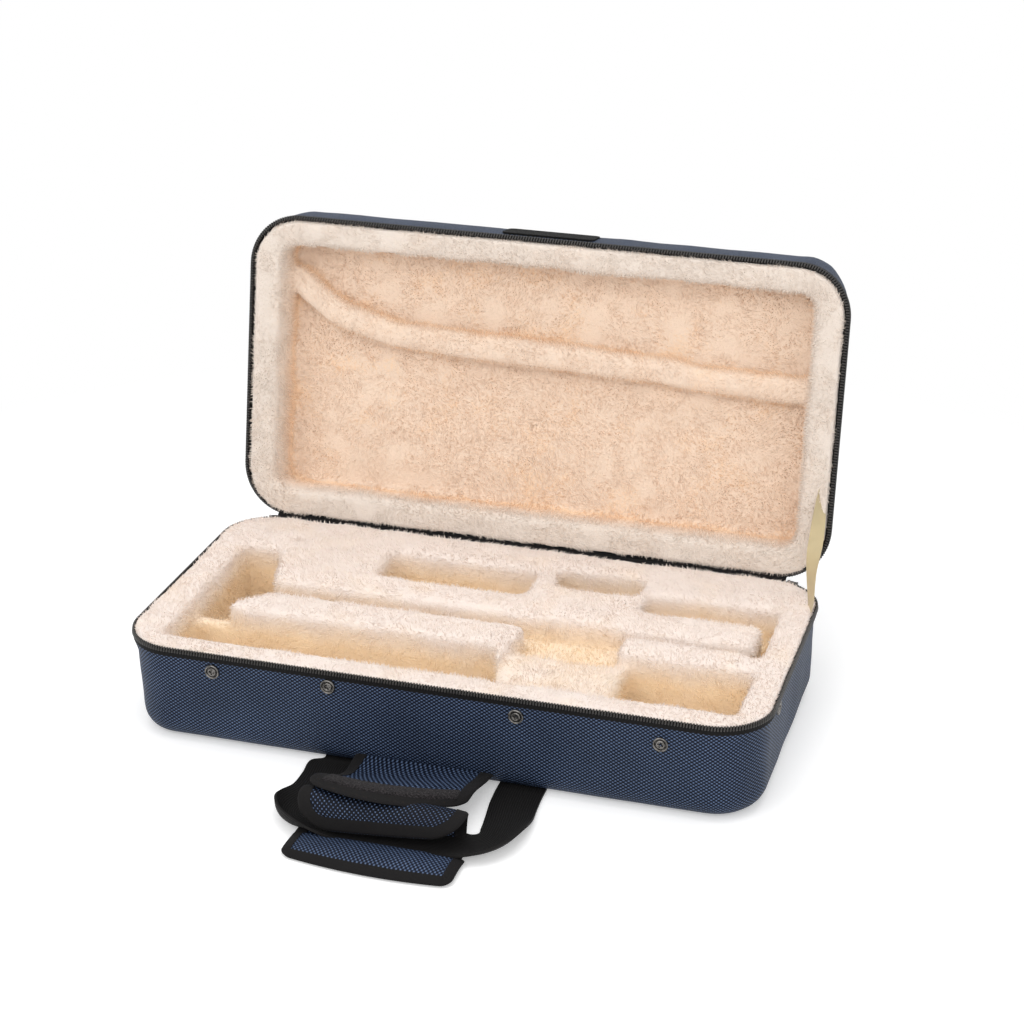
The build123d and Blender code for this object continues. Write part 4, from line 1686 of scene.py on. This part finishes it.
@dataclass
class Hinge:
    """Fabric hinge along the back, sewn to both halves."""

    finish: Finish
    reach: float = 9 * MM  # down the base's wall and up the lid's
    wrap: float = 11 * MM  # how far it follows the corners
    sunk: float = 0.2 * MM  # its middle, inside the back wall's face
    half_gap: float = 0.8 * MM  # where it leaves each wall, from the parting plane
    thickness: float = 1.0 * MM
    cells: tuple[int, int] = (60, 14)

    def build(self) -> Piece:
        """Strip down the base's back wall, round the gap and up the lid's back wall.

        Returns:
            The hinge.
        """
        half = OUTLINE.flat_x + self.wrap

        def line(x: float) -> list[Vector]:
            """Section of the hinge at a place along it, which follows the case's corners."""
            past = max(abs(x) - OUTLINE.flat_x, 0.0)
            out = WIDTH / 2 - self.sunk - CORNER + math.sqrt(CORNER**2 - past**2)
            base_top = Vector((x, out, RIM - self.half_gap))
            low = base_top - Vector((0, 0, self.reach))
            lid_edge = LID_OPEN @ Vector((x, out, RIM + self.half_gap))
            lid_top = LID_OPEN @ Vector((x, out, RIM + self.reach))
            on_base, on_lid = low.lerp(base_top, 0.6), lid_edge.lerp(lid_top, 0.4)
            return [low, on_base, base_top, lid_edge, on_lid, lid_top]

        def place(s: float, t: float) -> Vector:
            """Point along the hinge and across it."""
            return smooth_line(line(half * (2 * s - 1)), t)

        piece = cloth_grid("hinge_cloth", *self.cells, place)
        finish_with(piece, "SOLIDIFY", thickness=self.thickness, offset=0.0)
        smooth_shade(piece)
        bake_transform(piece)
        return deliver(piece, "", self.finish, ("hinge_tape",))


# -------------------- bound flaps
@dataclass
class Flap:
    """Padded cloth flap with a binding round its sides and its free edge.

    Its plan is a rectangle from the root to the free edge, whose two free corners are rounded.
    The surface says where a share across and a share along come to lie.
    """

    name: str
    surface: Place
    width: float
    length: float
    corner: float
    panel: Finish
    edging: Finish
    body: str
    replaced: tuple[str, ...]
    binding_replaced: tuple[str, ...]
    thickness: float = 3.2 * MM
    pillow: float = 0.8 * MM
    binding: float = 10 * MM
    edge_share: float = 0.28  # half of the thickness at the edge, as a share of the thickness
    field_share: float = 0.22  # and what the field adds to it
    full_at: float = 1.6  # bindings from the edge to where the flap is full
    proud: float = 0.6 * MM
    nose: float = 2.2  # length of the binding's round fold, in prouds
    ripple: float = 0.35 * MM  # of the binding
    ripple_scale: Triple = (60, 60, 3)  # across, along and round the fold
    binding_cloth: float = 0.5 * MM
    patch_cloth: float = 0.6 * MM
    tuft: float = 0.5 * MM  # roughness of a patch, and its lumps in a metre
    tuft_scale: float = 900
    crown: float = 2 * MM  # from a patch's edge to its full height
    tilt_step: float = 0.012  # shares over which the surface's tilt is read
    side_step: float = 0.004  # and its ways past the sides
    end_step: float = 0.03  # and past the free edge
    cells: tuple[int, int] = (48, 44)
    binding_cells: tuple[int, int] = (20, 150)
    patch_cells: tuple[int, int] = (90, 16)
    blend: tuple[str, str, Vector, Vector] | None = None

    def at(self, u: float, v: float, height: float) -> Vector:
        """Point off the flap's middle surface.

        Args:
            u: distance across the plan.
            v: distance along the plan.
            height: distance off the surface.

        Returns:
            The point.
        """
        a, b = u / self.width, v / self.length
        here = self.surface(a, b)
        if not height:
            return here
        across = self.surface(a + self.tilt_step, b) - self.surface(a - self.tilt_step, b)
        low, high = max(b - self.tilt_step, 0.0), min(b + self.tilt_step, 1.0)
        along = self.surface(a, high) - self.surface(a, low)
        return here + along.cross(across).normalized() * height

    def inset(self, v: float) -> float:
        """How far the rounded corners come in from the sides.

        Args:
            v: distance along the plan.

        Returns:
            The inset there.
        """
        past = v - (self.length - self.corner)
        if past <= 0:
            return 0.0
        return self.corner - math.sqrt(max(self.corner**2 - past**2, 0.0))

    def margin(self, u: float, v: float) -> float:
        """Distance from a point of the plan to the nearest bound edge.

        Args:
            u: distance across the plan.
            v: distance along the plan.

        Returns:
            The distance, 0 outside the plan.
        """
        nearest = min(u, self.width - u, self.length - v)
        du = max(self.corner - u, u - self.width + self.corner, 0.0)
        dv = max(v - self.length + self.corner, 0.0)
        if du and dv:
            nearest = self.corner - math.hypot(du, dv)
        return max(nearest, 0.0)

    def half(self, u: float, v: float) -> float:
        """Half of the flap's thickness.

        Args:
            u: distance across the plan.
            v: distance along the plan.

        Returns:
            The distance from its middle surface to its face.
        """
        rise = min(self.margin(u, v) / (self.full_at * self.binding), 1.0)
        cloth = self.thickness * (self.edge_share + self.field_share * rise)
        return cloth + self.pillow * math.sin(rise * math.pi / 2)

    def field(self) -> Piece:
        """Padded field: upper and lower skin in one closed pillow.

        Returns:
            The field.
        """
        across, along = self.cells

        def place(s: float, t: float) -> Vector:
            """Upper skin for the first half of s, lower skin for the second."""
            v = self.length * math.sin(t * math.pi / 2)
            inset = self.inset(v)
            share = 2 * s if s <= 0.5 else 2 - 2 * s
            u = inset + (self.width - 2 * inset) * share
            swell = self.half(u, v) * (1 if s < 0.5 else -1) * (0 if share in (0, 1) else 1)
            return self.at(u, v, swell)

        piece = cloth_grid(self.name, 2 * across, along, place)
        merge_doubles(piece, 5 * MERGE, turn_out=True)
        done_editing()
        smooth_shade(piece, 70)
        return self._settle(piece, self.panel, self.replaced)

    def edge(self, share: float) -> tuple[Vector, Vector]:
        """Point of the bound edge.

        Args:
            share: how far round it, from the left root to the right one.

        Returns:
            The point of the plan, and the way inward there.
        """
        side = self.length - self.corner
        quarter = math.pi / 2 * self.corner
        front = self.width - 2 * self.corner
        walk = share * (2 * side + 2 * quarter + front)
        if walk <= side:
            return Vector((0, walk)), Vector((1, 0))
        walk -= side
        if walk <= quarter:
            turn = walk / self.corner
            inward = Vector((math.cos(turn), -math.sin(turn)))
            return Vector((self.corner, side)) - inward * self.corner, inward
        walk -= quarter
        if walk <= front:
            return Vector((self.corner + walk, self.length)), Vector((0, -1))
        walk -= front
        if walk <= quarter:
            turn = walk / self.corner
            inward = Vector((-math.sin(turn), -math.cos(turn)))
            return Vector((self.width - self.corner, side)) - inward * self.corner, inward
        return Vector((self.width, side - (walk - quarter))), Vector((-1, 0))

    def bind(self) -> Piece:
        """Binding folded over the edge: one strip from the upper face round to the lower.

        Returns:
            The binding.
        """

        def place(s: float, t: float) -> Vector:
            """Point across the folded strip and along the edge."""
            edge, inward = self.edge(t)
            fold = abs(2 * s - 1)
            depth = (self.binding + self.proud) * fold - self.proud
            spot = edge + inward * depth
            fold_depth = self.nose * self.proud + self.thickness / 2
            nose = min((depth + self.proud) / fold_depth, 1.0)
            half = self.thickness * self.edge_share
            if depth > 0:
                half = self.half(spot.x, min(spot.y, self.length))
            height = (half + self.proud) * math.sqrt(1 - (1 - nose) ** 2)
            ripple = noise.noise(Vector((*edge, s)) * Vector(self.ripple_scale)) * self.ripple
            return self._around(spot, (height + ripple * nose) * (1 if s < 0.5 else -1))

        piece = cloth_grid(self.name + "_binding", *self.binding_cells, place)
        finish_with(piece, "SOLIDIFY", thickness=self.binding_cloth, offset=-1.0)
        smooth_shade(piece, 60)
        return self._settle(piece, self.edging, self.binding_replaced)

    def _around(self, spot: Vector, height: float) -> Vector:
        """Point at a spot of the plan, also just outside its edges.

        Args:
            spot: the spot, which may lie a little past the sides or the free edge.
            height: distance off the surface.

        Returns:
            The point.
        """
        u = min(max(spot.x, 0.0), self.width)
        v = min(spot.y, self.length)
        out_u, out_v = spot.x - u, spot.y - v
        here = self.at(u, v, height)
        a, b = u / self.width, v / self.length
        if out_u:
            across = self.surface(a + self.side_step, b) - self.surface(a - self.side_step, b)
            here += across.normalized() * out_u
        if out_v:
            along = self.surface(a, 1.0) - self.surface(a, 1.0 - self.end_step)
            here += along.normalized() * out_v
        return here

    def patch(
        self, name: str, low: Pair, high: Pair, rise: float,
        finish: Finish, replaced: tuple[str, ...], under: bool = False,
    ) -> Piece:
        """Strip sewn on the flap.

        Args:
            name: the piece's name.
            low: its first corner on the plan, across and along.
            high: the opposite corner.
            rise: its height over the flap.
            finish: its finish.
            replaced: CAD nodes that it stands for.
            under: whether it is on the lower face.

        Returns:
            The strip.
        """

        def place(s: float, t: float) -> Vector:
            """Point of the strip, pressed down along its edges."""
            u = low[0] + (high[0] - low[0]) * s
            v = low[1] + (high[1] - low[1]) * t
            edge = min(s, 1 - s) * (high[0] - low[0]), min(t, 1 - t) * (high[1] - low[1])
            crown = min(min(edge) / self.crown, 1.0)
            rough = noise.noise(Vector((u * self.tuft_scale, v * self.tuft_scale, 1))) * self.tuft
            height = self.half(u, v) + rise * crown + rough * crown
            return self.at(u, v, -height if under else height)

        piece = cloth_grid(name, *self.patch_cells, place)
        finish_with(piece, "SOLIDIFY", thickness=self.patch_cloth, offset=1.0 if under else -1.0)
        smooth_shade(piece, 180)
        return self._settle(piece, finish, replaced)

    def _settle(
        self, piece: Piece, finish: Finish, replaced: tuple[str, ...]
    ) -> Piece:
        """Leaves a piece with a blend unattached in place, or lets it ride, and delivers it.

        Args:
            piece: the finished piece.
            finish: its finish.
            replaced: CAD nodes that it stands for.

        Returns:
            The same piece.
        """
        if self.blend:
            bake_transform(piece)
            return deliver(piece, "", finish, replaced)
        return deliver(piece, self.body, finish, replaced)


def draped_surface(*edges: Sequence[Sequence[float]]) -> Place:
    """Surface through three lines from root to free edge.

    Args:
        edges: the left, the middle and the right line.

    Returns:
        The surface.
    """

    def surface(a: float, b: float) -> Vector:
        """Point at shares across and along."""
        left, middle, right = (smooth_line(edge, b) for edge in edges)
        return (
            left * ((1 - a) * (1 - 2 * a)) + middle * (4 * a * (1 - a)) + right * (a * (2 * a - 1))
        )

    return surface


def evenly(points: Sequence[Sequence[float]], count: int = 24, fineness: int = 400) -> list[Vector]:
    """Same smooth line in evenly long steps.

    Args:
        points: the line's points, mm.
        count: how many steps.
        fineness: how many places of the line are tried for them.

    Returns:
        The ends of the steps, in metres.
    """
    fine = [smooth_line(points, i / fineness) for i in range(fineness + 1)]
    runs = lengths_along(fine)
    found = []
    for i in range(count + 1):
        goal = runs[-1] * i / count
        j = min(range(len(runs)), key=lambda k: abs(runs[k] - goal))
        found.append(fine[j] * MM)
    return found


# -------------------- handle
@dataclass
class Handle:
    """Webbing loop with its wrapped grip and the tab that closes over it, lying in front.

    The lines and stations are in millimetres.
    """

    finishes: Finishes
    grip_width: float = 143 * MM
    tab_width: float = 121 * MM
    webbing_half: float = 20 * MM
    webbing_thickness: float = 1.9 * MM
    webbing_cells: tuple[int, int] = (24, 260)
    webbing_crease: float = 0.4 * MM
    crease_scale: Pair = (2, 14)  # creases across and along the webbing
    flattest: float = 1e-3  # curl of a flat station, radians

    # stations of the webbing: middle, way from it to the outer edge, curl of that edge, radians
    left_stations = (
        ((-75, -130, 1.3), (-1, 0, 0), 0), ((-75, -137, 1.3), (-1, 0, 0), 0),
        ((-84, -146, 1.9), (-1, 0, 0), 0), ((-82, -170, 2.2), (-1, 0, 0), 0.1),
        ((-81.5, -195, 2.6), (-1, 0, 0.05), 0.3), ((-88, -219, 3.2), (-0.97, -0.2, 0.05), 1.2),
        ((-86, -236, 3.6), (-0.8, -0.6, 0.05), 1.8), ((-73, -246, 4.4), (-0.4, -0.9, 0.05), 1.5),
        ((-56, -244, 5.0), (-0.1, -1, 0), 0.6), ((-34, -242, 5.2), (0, -1, 0), 0),
    )
    right_stations = (
        ((0, -242, 5.2), (0, -1, 0), 0), ((34, -242, 5.2), (0, -1, 0), 0),
        ((56, -243, 5.2), (0.1, -1, 0), 0.2), ((73, -242, 5.0), (0.45, -0.88, 0), 0.75),
        ((84, -230, 4.6), (0.8, -0.6, 0.05), 1.0), ((86, -211, 4.0), (0.97, -0.2, 0.1), 0.7),
        ((84.5, -190, 3.2), (1, 0, 0.05), 0.25), ((81.5, -168, 2.2), (1, 0, 0), 0),
        ((80, -148, 1.8), (1, 0, 0), 0), ((79.5, -130, 1.3), (1, 0, 0), 0),
    )

    # rear flap, from under the webbing round to its free edge
    rear_left = (
        (-74, -259, 2.2), (-74, -245, 2.2), (-74, -230, 2.4), (-74, -224, 6), (-74, -223, 15),
        (-74, -226, 25), (-74, -233, 31.4), (-74, -242, 33.4), (-74, -250, 30), (-74, -256, 21.5),
        (-72, -260, 10),
    )
    rear_middle = (
        (-3, -259, 2.2), (-3, -245, 2.2), (-3, -232, 2.4), (-3, -226, 6), (-3, -224.5, 15),
        (-3, -227, 25), (-3, -233.5, 31.2), (-3, -242, 33.0), (-3, -250, 30.2), (-3, -256, 24),
        (-2, -260, 14.2),
    )
    rear_right = (
        (65, -257, 2.2), (65, -246, 2.2), (62.5, -236, 2.4), (61, -230.5, 6), (61, -229, 15),
        (62, -230, 24), (64, -234, 30.2), (65.5, -241, 32.8), (66.5, -248, 31), (67, -253.5, 26.5),
        (66, -257.5, 20.5),
    )

    # front flap, from the crease to its free edge
    front_left = (
        (-74, -260.5, 3.0), (-74, -270, 3.6), (-74, -278, 4.0), (-74, -286, 3.4),
        (-73.5, -291, 2.0),
    )
    front_middle = (
        (-2, -260.5, 3.6), (-2, -272, 5.4), (-2, -283, 5.8), (-2, -293, 4.4), (-2, -300, 2.2),
    )
    front_right = (
        (69, -260.5, 3.2), (69, -271, 4.6), (69, -281, 5.0), (69, -290, 4.2), (69, -296.5, 2.4),
    )

    # closure tab, from the front wall to its free edge
    tab_left = (
        (-64, -140.3, 12.6), (-64, -152, 11.4), (-64, -165, 10.4), (-65, -179, 13.5),
        (-67, -195, 21.5), (-69, -210, 31), (-70, -223, 37), (-70, -237, 38.5),
    )
    tab_middle = (
        (-5, -140.3, 12.6), (-5, -155, 13.6), (-4.5, -172, 17), (-4, -188, 22.5),
        (-3.5, -204, 29), (-3, -220, 34.5), (-2.5, -236, 38.4), (-2, -250, 38.0),
    )
    tab_right = (
        (56, -140.3, 12.6), (56, -150, 14.6), (56, -160, 16.8), (55.8, -170, 19.4),
        (55.6, -180, 22), (55.3, -190, 24), (55, -200, 24.4), (53.5, -209, 22.0),
    )

    def webbing(self) -> Piece:
        """One ribbed strip: left leg, corner, cross strip, corner and right leg.

        Returns:
            The webbing.
        """
        stations = self.left_stations + self.right_stations
        middles = [Vector(middle) * MM for middle, _, _ in stations]
        ways = [Vector(way) for _, way, _ in stations]
        curls = [(curl, 0, 0) for _, _, curl in stations]

        def place(s: float, t: float) -> Vector:
            """Point across and along the webbing; its outer half curls up where it turns."""
            way = smooth_line(ways, t).normalized()
            up = Vector((0, 0, 1))
            curl = max(smooth_line(curls, t).x, self.flattest)
            reach = self.webbing_half * (1 - 2 * s)
            spot = Vector((s * self.crease_scale[0], t * self.crease_scale[1], 5))
            crease = self.webbing_crease * noise.noise(spot)
            here = smooth_line(middles, t) + up * crease
            if reach <= 0:
                return here + way * reach
            radius = self.webbing_half / curl
            turn = reach / radius
            return here + way * radius * math.sin(turn) + up * radius * (1 - math.cos(turn))

        piece = cloth_grid("loop_webbing", *self.webbing_cells, place)
        finish_with(piece, "SOLIDIFY", thickness=self.webbing_thickness, offset=0.0)
        smooth_shade(piece)
        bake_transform(piece)
        return deliver(piece, "", self.finishes.webbing, ("handle_webbing", "handle_anchors"))

    def grip(self) -> None:
        """Rear flap wrapped over the webbing, and the front flap laid open."""
        lines = [evenly(line) for line in (self.rear_left, self.rear_middle, self.rear_right)]
        rear = Flap(
            "rear_flap", draped_surface(*lines), width=self.grip_width,
            length=lengths_along(lines[1])[-1], corner=29 * MM, panel=self.finishes.mesh,
            edging=self.finishes.binding, body="handle", replaced=("grip_rear_flap",),
            binding_replaced=("grip_rear_binding",),
        )
        rear.field()
        rear.bind()
        side, low, high = 20 * MM, rear.length - 24 * MM, rear.length - 12 * MM
        rear.patch(
            "rear_hooks", (side, low), (rear.width - side, high), rise=0.8 * MM,
            finish=self.finishes.hook, replaced=("grip_hook_strip",), under=True,
        )
        lines = [evenly(line) for line in (self.front_left, self.front_middle, self.front_right)]
        front = Flap(
            "front_flap", draped_surface(*lines), width=self.grip_width,
            length=lengths_along(lines[1])[-1], corner=9 * MM, panel=self.finishes.knit,
            edging=self.finishes.binding, body="grip_flap", replaced=("grip_front_flap",),
            binding_replaced=("grip_front_binding",), thickness=2.4 * MM, pillow=1.6 * MM,
            binding=8 * MM,
        )
        front.field()
        front.bind()

    def tab(self) -> None:
        """Closure tab, sewn to the front wall, over the grip."""
        lines = [evenly(line) for line in (self.tab_left, self.tab_middle, self.tab_right)]
        tab = Flap(
            "closure_tab", draped_surface(*lines), width=self.tab_width,
            length=lengths_along(lines[1])[-1], corner=9 * MM, panel=self.finishes.tab,
            edging=self.finishes.binding, body="tab",
            replaced=("closure_tab_panel", "closure_tab_root"),
            binding_replaced=("closure_tab_binding",), thickness=2.2 * MM, pillow=0.3 * MM,
            blend=("base", "tab", Vector((0, -0.1405, 0.0146)), Vector((0, -0.157, 0.0146))),
        )
        tab.field()
        tab.bind()
        side, low, high = 9.5 * MM, tab.length - 30 * MM, tab.length - 10 * MM
        tab.patch(
            "tab_hooks", (side, low), (tab.width - side, high), rise=1.3 * MM,
            finish=self.finishes.hook, replaced=("closure_tab_hooks",),
        )


# -------------------- studio
@dataclass
class Studio:
    """Camera, lamps, pale floor and white surround."""

    azimuth: float = math.radians(16.525)
    elevation: float = math.radians(23.766)
    roll: float = math.radians(0.261)
    distance: float = 2.28807
    target: Triple = (-0.033676, 0.213381, 0.089755)
    lens: float = 84.43  # mm, on a sensor 36 mm wide
    clip: Pair = (0.05, 50.0)
    # name, place, size and power of each lamp
    soft_lamps: tuple[tuple[str, Triple, float, float], ...] = (
        ("key", (-1.5, -2.0, 2.2), 1.8, 20.0),
        ("front", (0.4, -2.3, 1.6), 1.6, 18.0),
        ("fill", (1.9, -1.5, 1.2), 1.8, 9.0),
        ("top", (0.0, 0.3, 2.6), 2.4, 29.0),
    )
    lit_point: Triple = (0, 0, 0.1)
    surround_light: float = 0.55
    floor_size: float = 12.0
    floor_glow: float = 0.3  # light added where the floor is seen, so that it comes out white
    floor_fade: Pair = (0.5, 0.9)  # from the shadowed floor to plain white, metres

    def camera(self) -> None:
        """Camera at the viewing angle."""
        back = Vector((
            math.sin(self.azimuth) * math.cos(self.elevation),
            -math.cos(self.azimuth) * math.cos(self.elevation),
            math.sin(self.elevation),
        ))
        data = bpy.data.cameras.new("camera")
        data.lens, data.sensor_width, data.sensor_fit = self.lens, 36.0, "HORIZONTAL"
        data.clip_start, data.clip_end = self.clip
        camera = linked(bpy.data.objects.new("camera", data))
        place = Matrix.Translation(Vector(self.target) + back * self.distance)
        turn = (-back).to_track_quat("-Z", "Y").to_matrix().to_4x4()
        camera.matrix_world = place @ turn @ Matrix.Rotation(self.roll, 4, "Z")
        bpy.context.scene.camera = camera

    def lamps(self) -> None:
        """Large soft lamps, turned to the case."""
        for name, place, size, power in self.soft_lamps:
            data = bpy.data.lights.new(name, "AREA")
            data.size, data.energy = size, power
            lamp = linked(bpy.data.objects.new(name, data))
            way = Vector(self.lit_point) - Vector(place)
            lamp.location = place
            lamp.rotation_euler = way.to_track_quat("-Z", "Y").to_euler()

    def surround(self) -> None:
        """White seen behind the case; a plain level of light on it."""
        world = bpy.data.worlds.new("studio")
        bpy.context.scene.world = world
        world.use_nodes = True
        tree = world.node_tree
        output = tree.nodes["World Output"]
        lit, seen = tree.nodes["Background"], tree.nodes.new("ShaderNodeBackground")
        for light, strength in ((lit, self.surround_light), (seen, 1.0)):
            self._white(light, strength)
        self._switch(tree, lit.outputs[0], seen.outputs[0], output.inputs["Surface"])

    def floor(self) -> None:
        """Pale floor that shows white and keeps the case's shadow."""
        clear_selection()
        bpy.ops.mesh.primitive_plane_add(size=self.floor_size)
        floor = named("floor")
        edit(floor)
        bpy.ops.mesh.select_all(action="SELECT")
        bpy.ops.mesh.subdivide(number_cuts=3)
        done_editing()
        graph = Graph("pale_floor")
        graph.surface(Base_Color=(0.9, 0.9, 0.9), Roughness=0.9, Specular_IOR_Level=0.1)
        glow, white = graph.node("Emission"), graph.node("Emission")
        for light, strength in ((glow, self.floor_glow), (white, 1.0)):
            self._white(light, strength)
        total = graph.node("AddShader", graph.shader.outputs[0], glow.outputs[0])
        reach = graph.node("VectorMath", graph.where("Object")[3], operation="LENGTH")
        far = graph.node("MapRange", reach.outputs["Value"], *self.floor_fade, 0.0, 1.0)
        fade = graph.node("MixShader", far.outputs[0], total.outputs[0], white.outputs[0])
        output = graph.tree.nodes["Material Output"]
        self._switch(graph.tree, graph.shader.outputs[0], fade.outputs[0], output.inputs["Surface"])
        floor.data.materials.append(graph.material)

    @staticmethod
    def _white(light: bpy.types.Node, strength: float) -> None:
        """Makes a Background or Emission node white, at a strength."""
        light.inputs["Color"].default_value = (1, 1, 1, 1)
        light.inputs["Strength"].default_value = strength

    @staticmethod
    def _switch(tree: bpy.types.NodeTree, plain: Socket, seen: Socket, target: Socket) -> None:
        """Uses one shader for the light on the case and another where it is seen directly.

        Args:
            tree: the material's or the world's nodes.
            plain: the shader that lights the case.
            seen: the shader that the camera, metal and glass see.
            target: the output's socket.
        """
        path = tree.nodes.new("ShaderNodeLightPath")
        direct = path.outputs["Is Camera Ray"]
        for name in ("Is Glossy Ray", "Is Transmission Ray"):
            either = tree.nodes.new("ShaderNodeMath")
            either.operation = "MAXIMUM"
            tree.links.new(direct, either.inputs[0])
            tree.links.new(path.outputs[name], either.inputs[1])
            direct = either.outputs[0]
        choice = tree.nodes.new("ShaderNodeMixShader")
        for source, socket in zip((direct, plain, seen), choice.inputs):
            tree.links.new(source, socket)
        tree.links.new(choice.outputs[0], target)


def dress_cad(finishes: Finishes) -> None:
    """Gives the CAD nodes that stay in sight their finishes.

    Args:
        finishes: the set of finishes.
    """
    worn = (
        (finishes.tape, ("base_zip_tape", "lid_zip_tape")),
        (finishes.loop, ("lid_loop_patch",)),
        (finishes.metal, ("zip_slider_left", "zip_slider_right")),
        (finishes.metal, ("zip_pull_left", "zip_pull_right")),
    )
    for finish, names in worn:
        for name in names:
            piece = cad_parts[name]
            piece.data.materials.clear()
            piece.data.materials.append(finish.material())


def main() -> None:
    """Builds the studio and the case."""
    bpy.context.scene.view_settings.view_transform = "Standard"
    studio = Studio()
    studio.camera()
    studio.lamps()
    studio.surround()
    studio.floor()
    finishes = all_finishes()
    dress_cad(finishes)
    Cover("base_cover", RIM, finishes.weave, "base", ("base_side_cover",)).build()
    Cover("lid_cover", LID_HEIGHT, finishes.weave, "lid", ("lid_side_cover",)).build()
    ZipRow("base_coil", finishes.coil, "base", ("base_zip_coil",)).build()
    ZipRow("lid_coil", finishes.coil, "lid", ("lid_zip_coil",), tilt=math.radians(50)).build()
    StiffBoards(finishes).build()
    Plush("bed", ("base_lining", *FOAM_BLOCKS), finishes.bed, "base").build()
    Plush(
        "lid", ("lid_lining", "lid_foam_pad", "lid_ridge_foam"), finishes.lid, "lid",
        zip_room=5.5 * MM, wall_gap=4.2 * MM,
    ).build()
    CupScrews(finishes.metal).build()
    StayRibbon(finishes.ribbon).build()
    Hinge(finishes.tape).build()
    handle = Handle(finishes)
    handle.webbing()
    handle.grip()
    handle.tab()


if __name__ == "__main__":
    main()
